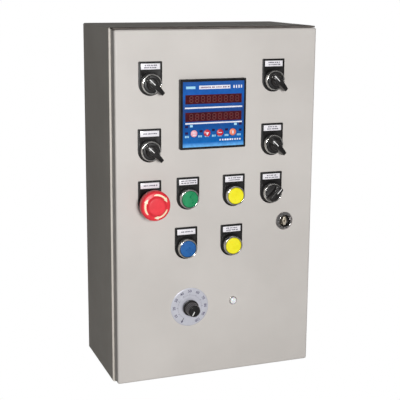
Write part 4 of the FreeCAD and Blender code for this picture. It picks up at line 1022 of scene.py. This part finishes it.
lathe(bm, eased([(0, recess), (throat - 0.1 * mm, recess), (throat - 0.1 * mm, lock_high.y),
                 (4.95 * mm, lock_high.y),
                 (4.95 * mm, core_high.y), (0, core_high.y)], [0, 0.3 * mm, 0.3 * mm, 0, 0.4 * mm, 0],
                closed=False), lock_at, 40)
piece("lock_core_barrel", bm, "lock_core", "lock_core", black_plastic, "lock_insert")
bm = bmesh.new()
x, z = lock_at
drive = [(x - 1.6 * mm, z + 6.2 * mm), (x + 1.6 * mm, z + 6.2 * mm), (x + 3.1 * mm, z + 1.6 * mm),
         (x + 3.1 * mm, z - 1.6 * mm),
         (x + 1.6 * mm, z - 6.2 * mm), (x - 1.6 * mm, z - 6.2 * mm), (x - 3.1 * mm, z - 1.6 * mm),
         (x - 3.1 * mm, z + 1.6 * mm)]
dimple = [(x + 1.3 * mm * math.cos(math.tau * k / 16),
           z + 1.3 * mm * math.sin(math.tau * k / 16)) for k in range(16)]
slab(bm, eased(drive, 0.6 * mm, 2), recess, lock_low.y + 2.05 * mm, 0.35 * mm, [dimple])
piece("lock_key_drive", bm, "lock_core", "lock_core", cast_zinc)
dress("lock_cam", zinc_screw)

# ---- Nuts behind the door ----
# Hexagon nuts clamp every head, the lamp, the speed control and the lock through their holes. Those on
# the 22 mm heads are black plastic, the other three plated steel.


def nut(bm, flats, front, back, bore, at=(0, 0)):
    """A hexagon nut with chamfered corners about the Y line at (x, z)."""
    reach = flats / math.sqrt(3)
    sides = [(at[0] + reach * math.cos(math.radians(60 * k)),
              at[1] + reach * math.sin(math.radians(60 * k))) for k in range(6)]
    hole = [(at[0] + bore * math.cos(math.tau * k / 32),
             at[1] + bore * math.sin(math.tau * k / 32)) for k in range(32)]
    slab(bm, eased(sides, 0.7 * mm, 2), front, back, 0.6 * mm, [hole])


nut_low, nut_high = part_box("locking_nuts")
inner_face = nut_low.y
bm = bmesh.new()
nut(bm, (selectors[2].x - nut_low.x) * math.sqrt(3), inner_face, nut_high.y, barrel_outer + 0.05 * mm)
repeat("locking_nut_set", bm, heads, "door", "black_plastic", black_plastic, "locking_nuts")
bm = bmesh.new()
nut(bm, 11 * mm, inner_face, inner_face + 3 * mm, 4.05 * mm, lamp_at)
nut(bm, 13 * mm, dial_low.y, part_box("panel_nuts")[0].y, 4.75 * mm, (dial_mid.x, dial_mid.z))
nut(bm, 27 * mm, inner_face, inner_face + 5 * mm, 10.85 * mm, lock_at)
piece("panel_nut_set", bm, "door", "zinc_steel", zinc_screw, "panel_nuts")

# ---- Collars and contact blocks ----
# Each head carries a snap-on collar and behind it a pair of switch elements in grey plastic, with sunk
# terminal screws and a coloured tab: green closes on pressing, red opens.


def rounded_box(bm, centre, wide, high, front, back, corner, ease, holes=()):
    """A moulded block with rounded corners whose face at `back` is eased."""
    x, z = centre
    outline = [(x - wide / 2, z - high / 2), (x + wide / 2, z - high / 2), (x + wide / 2, z + high / 2),
               (x - wide / 2, z + high / 2)]
    slab(bm, eased(outline, corner, 3), front, back, ease, holes)


def ring_of(radius, at, count=20):
    return [(at[0] + radius * math.cos(math.tau * k / count),
             at[1] + radius * math.sin(math.tau * k / count)) for k in range(count)]


def facing_inwards(bm, seat):
    """Turns a screw blank to face the back of the cabinet, its head seated at a given y."""
    for vertex in bm.verts:
        x, y, z = vertex.co
        vertex.co = (-x, seat - y, z)
    return bm


collar_low, collar_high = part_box("mounting_collars")
wide, high = 2 * (selectors[2].x - collar_low.x), 2 * (collar_high.z - selectors[0].z)
grip_hole = ring_of(barrel_outer + 0.1 * mm, (0, 0), 40)
bm = bmesh.new()
rounded_box(bm, (0, 0), wide, high, collar_low.y, collar_low.y + 5 * mm, 2.2 * mm, 0.4 * mm, [grip_hole])
rounded_box(bm, (0, 0), wide - 1.4 * mm, high - 1.4 * mm, collar_low.y + 5 * mm, collar_high.y, 1.8 * mm,
            0.3 * mm, [grip_hole])
for side in (-1, 1):
    for level in (-9, -6, -3, 0, 3, 6, 9):
        rounded_box(bm, (side * (wide / 2 - 0.5 * mm), level * mm), 1.0 * mm, 1.3 * mm,
                    collar_low.y + 5 * mm,
                    collar_high.y - 1 * mm, 0.2 * mm, 0.1 * mm)
repeat("collar_set", bm, heads, "door", "black_plastic", black_plastic, "mounting_collars")

element_grey = moulded_plastic("Grey switch element", tint(150, 150, 146), tint(132, 132, 128), 0.4, 0.03,
                               90.0)
block_low, block_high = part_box("contact_blocks")
wide, high = 2 * (selectors[2].x - block_low.x), 2 * (block_high.z - selectors[0].z)
wells = [(side * wide / 4, level * (high / 2 - 5 * mm)) for side in (-1, 1) for level in (-1, 1)]
bm = bmesh.new()
for side in (-1, 1):
    middle, own = side * wide / 4, [w for w in wells if w[0] * side > 0]
    rounded_box(bm, (middle, 0), wide / 2 - 0.4 * mm, high, block_low.y, block_high.y - 5 * mm, 0.6 * mm,
                0.1 * mm)
    rounded_box(bm, (middle, 0), wide / 2 - 0.8 * mm, high - 1 * mm, block_high.y - 5 * mm, block_high.y,
                0.8 * mm, 0.4 * mm,
                [ring_of(2.8 * mm, well_at) for well_at in own])
    for level in (-1, 1):
        rounded_box(bm, (middle, level * (high / 2 - 0.6 * mm)), 7 * mm, 1.2 * mm, block_low.y + 6 * mm,
                    block_high.y - 8 * mm,
                    0.3 * mm, 0.3 * mm)
repeat("switch_element_set", bm, heads, "door", "contact_plastic", element_grey, "contact_blocks")
repeat("switch_element_screws", facing_inwards(screw_blank(2.5 * mm, 2.0 * mm, 1.4 * mm, 1.5 * mm, 0.8 * mm,
                                                           cross=True),
                                               block_high.y - 4.4 * mm),
       [(x + w[0], 0, z + w[1]) for x, _, z in heads for w in wells], "door", "contact_plastic", zinc_screw)
tab_green = moulded_plastic("Green contact tab", tint(40, 140, 80), tint(30, 118, 66), 0.4)
tab_red = moulded_plastic("Red contact tab", tint(190, 40, 44), tint(166, 30, 36), 0.4)
for name, side, finish in (("contact_tabs_closing", -1, tab_green), ("contact_tabs_opening", 1, tab_red)):
    bm = bmesh.new()
    rounded_box(bm, (side * wide / 4, 0), 7.5 * mm, 9 * mm, block_high.y - 1.5 * mm,
                block_high.y + 0.45 * mm, 1 * mm, 0.3 * mm)
    repeat(name, bm, heads, "door", "contact_plastic", finish)

# ---- Instrument housing and clamps ----
# The instrument's case is a grooved black box with two rows of screw terminals at its back. A plated
# bracket with a long screw on each side pulls it tight against the door.
case_low, case_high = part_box("controller_housing")
case_mid = (case_low + case_high) / 2
half, rear = (case_high.x - case_low.x) / 2, case_high.y
grooved = [(-half, -half)]
for edge_sign in (-1, 1):
    for k in range(14):
        at = -edge_sign * (-half + 8 * mm + k * (2 * half - 16 * mm) / 13)
        for shift, depth in ((-1.2, 0), (-0.9, 1.0), (0.9, 1.0), (1.2, 0)):
            grooved.append((at - edge_sign * shift * mm, edge_sign * (half - depth * mm)))
    grooved.append((-edge_sign * half, edge_sign * half) if edge_sign > 0 else (half, -half))
    if edge_sign < 0:
        grooved.append((half, half))
bm = bmesh.new()
slab(bm, [(case_mid.x + x, case_mid.z + z) for x, z in grooved], door_front, rear - 6 * mm, 0.2 * mm)
window_half = face_half - 2.95 * mm
rounded_box(bm, (case_mid.x, case_mid.z), 2 * window_half, 2 * window_half, door_front, case_low.y,
            0.3 * mm, 0.1 * mm)
terminals = [(case_mid.x + side * 30 * mm, case_mid.z - 36 * mm + 8 * k * mm) for side in (-1,
        1) for k in range(10)]
for side in (-1, 1):
    wells = [ring_of(2.5 * mm, at, 16) for at in terminals if (at[0] - case_mid.x) * side > 0]
    rounded_box(bm, (case_mid.x + side * 30 * mm, case_mid.z), 14 * mm, 84 * mm, rear - 6 * mm, rear,
                0.8 * mm, 0.4 * mm, wells)
rounded_box(bm, (case_mid.x, case_mid.z), 34 * mm, 70 * mm, rear - 6 * mm, rear - 4.5 * mm, 1 * mm,
            0.3 * mm)
piece("instrument_case", bm, "door", "black_plastic", black_plastic, "controller_housing")
repeat("instrument_terminal_screws", facing_inwards(screw_blank(2.2 * mm, 1.8 * mm, 1.3 * mm, 1.5 * mm,
                                                                0.7 * mm, cross=True),
                                                    rear - 5.6 * mm),
       [(x, 0, z) for x, z in terminals], "door", "zinc_steel", zinc_screw)
clamp_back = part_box("controller_clamps")[1].y
bm = bmesh.new()
for side in (-1, 1):
    inner, outer = case_mid.x + side * half, case_mid.x + side * (half + 9 * mm)
    bracket = [(inner, -9), (outer, -9), (outer, 9), (inner, 9), (inner, 7.4),
               (outer - side * 1.6 * mm, 7.4),
               (outer - side * 1.6 * mm, -7.4), (inner, -7.4)]
    slab(bm, [(x, case_mid.z + z * mm) for x, z in bracket], inner_face + 4 * mm, inner_face + 40 * mm,
         0.3 * mm)
    rounded_box(bm, ((inner + outer) / 2, case_mid.z), 8.6 * mm, 15 * mm, inner_face + 34 * mm,
                inner_face + 38 * mm, 0.4 * mm, 0.3 * mm)
    at = ((inner + outer) / 2, case_mid.z)
    lathe(bm, [(0, inner_face), (1.4 * mm, inner_face + 0.1 * mm)] + thread(2.2 * mm, inner_face + 1 * mm,
            clamp_back - 3 * mm, 1.2 * mm, 0.3 * mm)
          + [(2.2 * mm, clamp_back - 2.6 * mm), (3.6 * mm, clamp_back - 2.4 * mm),
             (3.6 * mm, clamp_back - 0.7 * mm),
             (2.8 * mm, clamp_back), (0, clamp_back)], at, 20)
piece("instrument_clamps", bm, "door", "zinc_steel", zinc_screw, "controller_clamps")

# ---- Mounting plate, studs and nuts ----
# A galvanised plate stands off the back on four shouldered studs welded to it. Each has a metric thread
# and a plated nut.
galvanised, tree, shader = blank_finish("Galvanised plate", 0.55, 0.7)
place = wire(tree, "ShaderNodeTexCoord").outputs["Object"]
flakes = wire(tree, "ShaderNodeTexVoronoi", {"Vector": place, "Scale": 70.0}).outputs["Color"]
shade = wire(tree, "ShaderNodeSeparateColor", {"Color": flakes}).outputs[0]
tree.links.new(between(tree, shade, tint(176, 180, 181), tint(190, 194, 194)), shader.inputs["Base Color"])
tree.links.new(ranged(tree, shade, 0.48, 0.62, 0.0, 1.0), shader.inputs["Roughness"])
raise_surface(tree, shader, grain(tree, 500.0), 0.2, 0.04 * mm)
dress("mounting_plate", galvanised)
plate_front, plate_back = (corner.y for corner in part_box("mounting_plate"))
stud_low, stud_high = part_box("plate_studs")
shoulder, shank = 7 * mm, 4 * mm
studs = [(x, 0, z) for x in (stud_low.x + shoulder, stud_high.x - shoulder) for z in (stud_low.z + shoulder,
        stud_high.z - shoulder)]
bm = bmesh.new()
lathe(bm, [(0, stud_low.y), (shank - 0.8 * mm, stud_low.y)] + thread(shank, stud_low.y + 0.9 * mm,
        plate_back, 1.25 * mm, 0.5 * mm)
      + [(shoulder - 0.4 * mm, plate_back), (shoulder, plate_back + 0.4 * mm), (shoulder, stud_high.y),
         (0, stud_high.y)], turns=24)
repeat("plate_stud_set", bm, studs, "cabinet", "zinc_steel", zinc_screw, "plate_studs")
bm = bmesh.new()
nut(bm, 13 * mm, plate_front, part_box("plate_nuts")[0].y, shank + 0.05 * mm)
repeat("plate_nut_set", bm, studs, "cabinet", "zinc_steel", zinc_screw, "plate_nuts", turn=0.0)

# ---- Top-hat rails ----
# 35 mm rails rolled from plated strip, with a row of long slots, screwed to the plate at each end.


def extruded(bm, outline, start, end):
    """A bar along X with a (y, z) outline."""
    near, far = ([bm.verts.new((x, y, z)) for y, z in outline] for x in (start, end))
    for k in range(len(outline)):
        bm.faces.new([near[k - 1], near[k], far[k], far[k - 1]])
    bm.faces.new(near)
    bm.faces.new(far)


rail_low, rail_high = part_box("din_rails")
rail_front, strip = rail_low.y, 1.0 * mm
rail_levels = (rail_high.z - 17.5 * mm, rail_low.z + 17.5 * mm)
screw_low, screw_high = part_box("rail_screws")
screw_places = [(x, z) for x in (screw_low.x + 4.4 * mm, screw_high.x - 4.4 * mm) for z in rail_levels]
bm = bmesh.new()
for level in rail_levels:
    slots = []
    for k in range(-3, 4):
        x = k * 25 * mm
        slots.append(eased([(x - 7.5 * mm, level - 3.1 * mm), (x + 7.5 * mm, level - 3.1 * mm),
                            (x + 7.5 * mm, level + 3.1 * mm),
                            (x - 7.5 * mm, level + 3.1 * mm)], 3 * mm, 4))
    slots += [ring_of(2.9 * mm, at) for at in screw_places if at[1] == level]
    web = 13.5 * mm
    slab(bm, [(rail_low.x, level - web), (rail_high.x, level - web), (rail_high.x, level + web),
              (rail_low.x, level + web)],
         plate_front, plate_front - strip, 0.0, slots)
    for side in (-1, 1):
        hat = [(plate_front, 13.5), (plate_front, 14.5), (rail_front + strip, 14.5),
               (rail_front + strip, 17.5),
               (rail_front, 17.5), (rail_front, 13.5)]
        extruded(bm, [(y, level + side * z * mm) for y, z in hat], rail_low.x, rail_high.x)
piece("slotted_rails", bm, "cabinet", "zinc_steel", zinc, "din_rails")
repeat("rail_screw_set", screw_blank(4.4 * mm, 2.8 * mm, 2.5 * mm, 3.4 * mm, 1.2 * mm),
       [(x, plate_front - strip, z) for x, z in screw_places],
       "cabinet", "zinc_steel", zinc_screw, "rail_screws", turn=3.0)

# ---- Breaker ----
# A two-pole breaker clipped on the upper rail: light grey case, sunk clamp screws, one blue rocker.
# A dark joint shows where its two poles are riveted together.
case_grey = moulded_plastic("Light grey case", tint(206, 206, 200), tint(190, 190, 184), 0.42, 0.03, 70.0)
dress("breaker_case", case_grey)
rocker_blue = moulded_plastic("Blue rocker", tint(42, 82, 150), tint(32, 66, 128), 0.34, 0.02, 90.0)
dress("breaker_toggle", rocker_blue)
rail_z = turning["breaker_throw"].z
breaker_at = turning["breaker_throw"].x
nose, step_face = rail_front - 62 * mm, rail_front - 46 * mm
joint_dark = moulded_plastic("Dark joint line", tint(70, 70, 70), tint(52, 52, 52), 0.7)
bm = bmesh.new()
for low, high, face in ((-41, -22.6, step_face), (-22.4, -8.6, nose), (8.6, 22.4, nose),
                        (22.6, 41, step_face)):
    slab(bm, [(breaker_at - 0.25 * mm, rail_z + low * mm), (breaker_at + 0.25 * mm, rail_z + low * mm),
              (breaker_at + 0.25 * mm, rail_z + high * mm), (breaker_at - 0.25 * mm, rail_z + high * mm)],
         face + 0.1 * mm, face - 0.05 * mm)
piece("breaker_joint", bm, "cabinet", "breaker_grey", joint_dark)
repeat("breaker_clamp_screws", screw_blank(3.1 * mm, 2.4 * mm, 1.6 * mm, 1.2 * mm, 0.9 * mm, cross=True),
       [(breaker_at + sx * 9 * mm, step_face + 6.8 * mm, rail_z + sz * 31.5 * mm) for sx in (-1,
               1) for sz in (-1, 1)],
       "cabinet", "breaker_grey", zinc_screw, turn=3.0)
bm = bmesh.new()
rounded_box(bm, (breaker_at, rail_z + 17.5 * mm), 26 * mm, 5 * mm, nose + 0.2 * mm, nose - 0.2 * mm,
            0.6 * mm, 0.1 * mm)
for side in (-1, 1):
    rounded_box(bm, (breaker_at + side * 9 * mm, rail_z - 17.5 * mm), 6 * mm, 4 * mm, nose + 0.2 * mm,
                nose - 0.15 * mm, 0.5 * mm, 0.1 * mm)
piece("breaker_marker_windows", bm, "cabinet", "breaker_grey", card)

# ---- Power supply ----
# A vented grey case with two rows of sunk terminal screws, a green lamp and an orange trimmer.
supply_grey = moulded_plastic("Supply case", tint(176, 178, 178), tint(160, 163, 164), 0.4, 0.03, 60.0)
dress("power_supply", supply_grey)
supply_low, supply_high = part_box("power_supply")
supply_mid, supply_face = (supply_low + supply_high) / 2, supply_low.y
repeat("supply_screws", screw_blank(2.5 * mm, 2.0 * mm, 1.5 * mm, 1.0 * mm, 0.8 * mm, cross=True),
       [(supply_mid.x + (k - 1.5) * 9 * mm, supply_face + 5.4 * mm, rail_z + sz * 36 * mm) for sz in (-1,
               1) for k in range(4)],
       "cabinet", "supply_grey", zinc_screw, turn=3.0)
bm = bmesh.new()
lathe(bm, eased([(0, supply_face - 0.9 * mm), (1.4 * mm, supply_face - 0.6 * mm),
                 (1.5 * mm, supply_face + 0.1 * mm), (0, supply_face + 0.1 * mm)],
                [0, 0.5 * mm, 0, 0], closed=False), (supply_mid.x + 20 * mm, rail_z + 24 * mm), 20)
piece("supply_lamp", bm, "cabinet", "supply_grey", tab_green)
bm = bmesh.new()
lathe(bm, [(0, supply_face + 0.1 * mm), (2.2 * mm, supply_face + 0.1 * mm),
           (2.2 * mm, supply_face - 0.5 * mm),
           (1.9 * mm, supply_face - 0.7 * mm), (0.5 * mm, supply_face - 0.7 * mm),
           (0.5 * mm, supply_face - 0.3 * mm), (0, supply_face - 0.3 * mm)],
      (supply_mid.x + 12 * mm, rail_z + 24 * mm), 20)
trimmer_orange = moulded_plastic("Orange trimmer", tint(226, 120, 40), tint(204, 98, 28), 0.4)
piece("supply_trimmer", bm, "cabinet", "supply_grey", trimmer_orange)

# ---- Relays and their sockets ----
# Three plug-in relays with clear covers over a copper coil and spring contacts, in black sockets with
# sunk screws and a holding clip at each end.
socket_dark = moulded_plastic("Dark relay socket", tint(62, 62, 64), tint(48, 48, 50), 0.4, 0.03, 80.0)
dress("relay_sockets", socket_dark)
relay_low, relay_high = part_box("relays")
socket_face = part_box("relay_sockets")[0].y
relay_wide, relay_tall = 22 * mm, relay_high.z - relay_low.z
first, last = relay_low.x + relay_wide / 2, relay_high.x - relay_wide / 2
relay_places = [(x, 0, rail_z) for x in (first, (first + last) / 2, last)]
clear, tree, shader = blank_finish("Clear relay cover", 0.06, Alpha=0.3, Coat_Weight=0.3)
tree.links.new(between(tree, grain(tree, 90.0), tint(232, 238, 240), tint(246, 250, 250)),
               shader.inputs["Base Color"])
tree.links.new(ranged(tree, grain(tree, 300.0), 0.03, 0.12), shader.inputs["Roughness"])
bm = bmesh.new()
rounded_box(bm, (0, 0), relay_wide, relay_tall, relay_high.y, relay_low.y, 1.6 * mm, 0.8 * mm)
repeat("relay_covers", bm, relay_places, "cabinet", "relay_clear", clear, "relays")
copper = plated_steel("Copper winding", tint(196, 110, 66), tint(160, 82, 46), 0.3, (1, 30, 1), 200.0)
bm = bmesh.new()
lathe(bm, thread(6.2 * mm, relay_high.y - 6 * mm, relay_high.y - 24 * mm, 1.0 * mm, 0.25 * mm)
      + [(0, relay_high.y - 24 * mm), (0, relay_high.y - 6 * mm), (6.2 * mm, relay_high.y - 6 * mm)],
      turns=24)
repeat("relay_coils", bm, relay_places, "cabinet", "relay_clear", copper)
bm = bmesh.new()
for low, high in ((4, 5.4), (24.2, 25.6)):
    lathe(bm, [(0, relay_high.y - low * mm), (7.6 * mm, relay_high.y - low * mm),
               (7.6 * mm, relay_high.y - high * mm), (0, relay_high.y - high * mm)], turns=20)
rounded_box(bm, (0, 10.4 * mm), 15 * mm, 1.4 * mm, relay_high.y - 2 * mm, relay_high.y - 27 * mm, 0.2 * mm,
            0.1 * mm)
rounded_box(bm, (0, 0), 15 * mm, 22 * mm, relay_high.y - 26 * mm, relay_high.y - 27.2 * mm, 0.5 * mm,
            0.2 * mm)
for k in (-1.5, -0.5, 0.5, 1.5):
    rounded_box(bm, (k * 4.4 * mm, -10.6 * mm), 2.4 * mm, 0.5 * mm, relay_high.y - 2 * mm,
                relay_high.y - 30 * mm, 0.1 * mm, 0.05 * mm)
repeat("relay_frames", bm, relay_places, "cabinet", "relay_clear", zinc)
bm = bmesh.new()
for side in (-1, 1):
    rounded_box(bm, (0, side * (relay_tall / 2 + 1.3 * mm)), 12 * mm, 1.8 * mm, socket_face,
                socket_face - 16 * mm, 0.4 * mm, 0.3 * mm)
    rounded_box(bm, (0, side * (relay_tall / 2 + 5 * mm)), 16 * mm, 5 * mm, socket_face + 0.1 * mm,
                socket_face - 0.6 * mm, 0.6 * mm, 0.2 * mm)
repeat("relay_clips", bm, relay_places, "cabinet", "relay_base_grey", socket_dark)
bm = bmesh.new()
rounded_box(bm, (4.5 * mm, 8 * mm), 5 * mm, 5 * mm, relay_low.y + 0.1 * mm, relay_low.y - 0.8 * mm,
            0.8 * mm, 0.3 * mm)
repeat("relay_test_buttons", bm, relay_places, "cabinet", "relay_clear", trimmer_orange)
repeat("relay_socket_screws", screw_blank(2.5 * mm, 2.0 * mm, 1.5 * mm, 1.0 * mm, 0.8 * mm, cross=True),
       [(x + sx * 7 * mm, socket_face + 5.4 * mm, rail_z + sz * 30 * mm) for x, _,
        _ in relay_places for sx in (-1, 1) for sz in (-1, 1)],
       "cabinet", "relay_base_grey", zinc_screw, turn=3.0)

# ---- Terminal blocks ----
# Sixteen clamp terminals side by side on the lower rail: grey, then two blue neutrals and two green and
# yellow earths, each with two sunk screws and a blank white marker.
terminal_low, terminal_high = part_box("terminal_blocks")
terminal_mid = (terminal_low + terminal_high) / 2
terminal_pitch = 8.2 * mm
terminal_x = [terminal_mid.x + (k - 7.5) * terminal_pitch for k in range(16)]
terminal_plastic, tree, shader = blank_finish("Terminal housing", 0.42)
place = wire(tree, "ShaderNodeSeparateXYZ", {"Vector": wire(tree, "ShaderNodeTexCoord").outputs["Object"]})
dusty = between(tree, ranged(tree, grain(tree, 80.0), 0.0, 1.0), tint(168, 168, 162), tint(150, 150, 145))


def past(tree, value, edge):
    return scaled(tree, value, edge, "GREATER_THAN")


stripe = past(tree, scaled(tree, scaled(tree, place.outputs["Z"], 600.0), 0.0, "SINE"), 0.2)
earths = between(tree, stripe, tint(60, 140, 60), tint(222, 204, 50))
edge_blue = terminal_x[11] + terminal_pitch / 2
edge_earth = terminal_x[13] + terminal_pitch / 2
shade = between(tree, past(tree, place.outputs["X"], edge_blue), dusty, tint(58, 104, 170))
tree.links.new(between(tree, past(tree, place.outputs["X"], edge_earth), shade, earths),
               shader.inputs["Base Color"])
tree.links.new(ranged(tree, grain(tree, 160.0), 0.36, 0.5), shader.inputs["Roughness"])
raise_surface(tree, shader, grain(tree, 2200.0, 2.0), 0.4, 0.03 * mm)
dress("terminal_blocks", terminal_plastic)
repeat("terminal_screws", screw_blank(2.3 * mm, 1.9 * mm, 1.4 * mm, 1.0 * mm, 0.7 * mm),
       [(x, terminal_low.y + 5.4 * mm, terminal_mid.z + sz * 14 * mm) for x in terminal_x for sz in (-1,
               1)],
       "cabinet", "terminal_grey", zinc_screw, turn=3.0)
bm = bmesh.new()
for level in (-4.4, 4.4):
    rounded_box(bm, (0, level * mm), 5.6 * mm, 5 * mm, terminal_low.y + 0.2 * mm,
                terminal_low.y - 0.35 * mm, 0.5 * mm, 0.15 * mm)
repeat("terminal_markers", bm, [(x, 0, terminal_mid.z) for x in terminal_x], "cabinet", "white_label", card)

# ---- Wiring ducts ----
# Grey plastic troughs screwed to the plate, their walls cut into fingers so that wires leave anywhere,
# with covers that snap over the fingers' tips.
duct_plastic = moulded_plastic("Grey duct plastic", tint(168, 171, 174), tint(152, 155, 159), 0.46, 0.02,
                               50.0)
dress("duct_covers", duct_plastic)
duct_low, duct_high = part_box("wiring_ducts")
duct_tall, duct_wall, solid = 28 * mm, 1.2 * mm, 9 * mm
duct_levels = [duct_high.z - duct_tall / 2, duct_high.z - duct_tall / 2 - 160 * mm,
               duct_low.z + duct_tall / 2]
finger_tree, given, ending = geometry_tree("Slotted duct wall", ("Finish", "Material", None),
                                           ("Finger width", "Float", 5 * mm),
                                           ("Finger height", "Float", duct_high.y - duct_low.y - solid),
                                           ("Wall", "Float", duct_wall),
                                           ("Pitch", "Float", 8 * mm), ("Count", "Int", 25))
joined = wire(finger_tree, "GeometryNodeJoinGeometry")
wide, tall, wall = (given.outputs[name] for name in ("Finger width", "Finger height", "Wall"))
for size_x, size_y, middle in ((wide, tall, scaled(finger_tree, tall, -0.5)),
                               (scaled(finger_tree, wide, 1.4 * mm, "ADD"), 2.4 * mm,
                                scaled(finger_tree, 1.2 * mm, tall, "SUBTRACT"))):
    size = wire(finger_tree, "ShaderNodeCombineXYZ", {"X": size_x, "Y": size_y, "Z": wall})
    block = wire(finger_tree, "GeometryNodeMeshCube", {"Size": size.outputs[0]}).outputs["Mesh"]
    where = wire(finger_tree, "ShaderNodeCombineXYZ", {"Y": middle}).outputs[0]
    moved = wire(finger_tree, "GeometryNodeTransform", {"Geometry": block, "Translation": where})
    finger_tree.links.new(moved.outputs[0], joined.inputs[0])
step = wire(finger_tree, "ShaderNodeCombineXYZ", {"X": given.outputs["Pitch"]}).outputs[0]
line = wire(finger_tree, "GeometryNodeMeshLine",
            {"Count": given.outputs["Count"], "Offset": step}).outputs[0]
per_wall = wire(finger_tree, "GeometryNodeInstanceOnPoints",
                {"Points": line, "Instance": joined.outputs[0]}).outputs[0]
walls = wire(finger_tree, "GeometryNodeInstanceOnPoints",
             {"Points": given.outputs["Centres"], "Instance": per_wall}).outputs[0]
close_tree(finger_tree, given, ending, walls)
starts = [(duct_low.x + 4 * mm, duct_high.y - solid,
           level + side * (duct_tall - duct_wall) / 2) for level in duct_levels for side in (-1, 1)]
settle("duct_fingers", grow(finger_tree, starts, finish=duct_plastic), "cabinet", "duct_grey", duct_plastic,
       "wiring_ducts")
bm = bmesh.new()
for level in duct_levels:
    low, high, back, front = level - duct_tall / 2, level + duct_tall / 2, duct_high.y, duct_high.y - solid
    extruded(bm, [(back, low), (front, low), (front, low + duct_wall), (back - duct_wall, low + duct_wall),
                  (back - duct_wall, high - duct_wall), (front, high - duct_wall), (front, high),
                  (back, high)], duct_low.x, duct_high.x)
piece("duct_troughs", bm, "cabinet", "duct_grey", duct_plastic)

# ---- Earth bar ----
# A drilled brass bar on two feet at the bottom of the plate, with a clamp screw over every hole.
brass = plated_steel("Earth bar brass", tint(212, 176, 96), tint(186, 148, 72), 0.28, (0.3, 1, 4), 60.0)
dress("earth_bar", brass)
bar_low, bar_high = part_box("earth_bar")
bar_mid = (bar_low + bar_high) / 2
repeat("earth_bar_screws", screw_blank(3.0 * mm, 2.55 * mm, 1.2 * mm, 0.6 * mm, 0.9 * mm),
       [(bar_mid.x + (k - 3.5) * 10 * mm, bar_low.y + 2.5 * mm, bar_mid.z) for k in range(8)], "cabinet",
       "earth_brass", brass, turn=3.0)

# ---- Dark strip of painted shade above the door ----
# A thin dark strip along the top of the rim reaches forward over the door's top edge. It is painted shade,
# a dark sheet where the band above the door lies in shadow.
# Painted shade: this dark finish stands for the shadow in the band over the door's top edge.
shade_strip_finish, tree, shader = blank_finish("Dark strip for painted shade", 0.8)
tree.links.new(between(tree, ranged(tree, grain(tree, 60.0, 4.0), 0.0, 1.0), tint(84, 77, 73),
                       tint(106, 98, 93)), shader.inputs["Base Color"])
raise_surface(tree, shader, grain(tree, 900.0), 0.4, 0.1 * mm)
body_low, body_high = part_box("cabinet_body")
rim_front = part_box("hinge_body_leaves")[1].y
door_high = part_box("door_panel")[1]
strip_top = body_high.z - 0.05 * mm
strip_lip = door_high.z + 0.4 * mm
profile = eased([(rim_front, strip_lip), (door_front + 3 * mm, strip_lip), (door_front + 3 * mm, strip_top),
                 (rim_front, strip_top)],
                [0, 0.4 * mm, 0.9 * mm, 0], 3)
bm = bmesh.new()
extruded(bm, profile, body_low.x + 1.5 * mm, door_high.x - 1.5 * mm)
piece("drip_strip", bm, "cabinet", "seal_foam", shade_strip_finish)

# ---- Setting ----
# A plain pale floor under the cabinet, a soft light beside the camera, and a weaker one behind.
floor_mesh = bpy.data.meshes.new("floor")
reach = 6.0
floor_mesh.from_pydata([(-reach, -reach, cad_low.z - 1 * mm), (reach, -reach, cad_low.z - 1 * mm),
                        (reach, reach, cad_low.z - 1 * mm), (-reach, reach, cad_low.z - 1 * mm)], [],
                       [(0, 1, 2, 3)])
floor = bpy.data.objects.new("floor", floor_mesh)
bpy.context.scene.collection.objects.link(floor)
pale, tree, shader = blank_finish("Pale floor", 0.9)
shader.inputs["Base Color"].default_value = (0.5, 0.5, 0.5, 1.0)
seen = wire(tree, "ShaderNodeLightPath").outputs["Is Camera Ray"]
glow = wire(tree, "ShaderNodeEmission", {"Color": (1, 1, 1, 1), "Strength": 1.0}).outputs[0]
both = wire(tree, "ShaderNodeMixShader", {0: seen, 1: shader.outputs[0], 2: glow}).outputs[0]
tree.links.new(both, tree.nodes["Material Output"].inputs["Surface"])
floor_mesh.materials.append(pale)

world = bpy.data.worlds.new("Studio")
bpy.context.scene.world = world
world.use_nodes = True
tree = world.node_tree
path = wire(tree, "ShaderNodeLightPath")
dim = wire(tree, "ShaderNodeMix", {2: 0.06, 3: 0.24, 0: path.outputs["Is Glossy Ray"]},
           data_type="FLOAT").outputs[0]
level = wire(tree, "ShaderNodeMix", {2: dim, 3: 1.0, 0: path.outputs["Is Camera Ray"]},
             data_type="FLOAT").outputs[0]
tree.links.new(level, tree.nodes["Background"].inputs["Strength"])
tree.nodes["Background"].inputs["Color"].default_value = (1, 1, 1, 1)


def soft_light(name, place, target, size, power):
    lamp = bpy.data.lights.new(name, "AREA")
    lamp.shape, lamp.size, lamp.energy = "DISK", size, power
    made = bpy.data.objects.new(name, lamp)
    bpy.context.scene.collection.objects.link(made)
    made.location = place
    made.rotation_euler = (Vector(target) - Vector(place)).to_track_quat("-Z", "Y").to_euler()


soft_light("key_light", (-0.30, -1.85, 0.34), (0, -0.1, 0), 0.4, 25)
soft_light("back_light", (1.0, 1.7, -0.1), (0, 0, 0), 0.8, 20)

camera = bpy.data.cameras.new("camera")
camera.lens, camera.sensor_width = 86.7, 36.0
camera.shift_x, camera.shift_y = -0.00125, -0.03625
camera_object = bpy.data.objects.new("camera", camera)
bpy.context.scene.collection.objects.link(camera_object)
bpy.context.scene.camera = camera_object
camera_object.location = (-0.4836, -1.3915, 0.3095)
right, ahead = Vector((0.93775, -0.34724, 0.00669)), Vector((0.34104, 0.91702, -0.20681))
camera_object.rotation_mode = "QUATERNION"
turn = Vector((0.06567, 0.19622, 0.97836))
camera_object.rotation_quaternion = Matrix((right, turn, -ahead)).transposed().to_quaternion()
bpy.context.scene.view_settings.view_transform = "Standard"
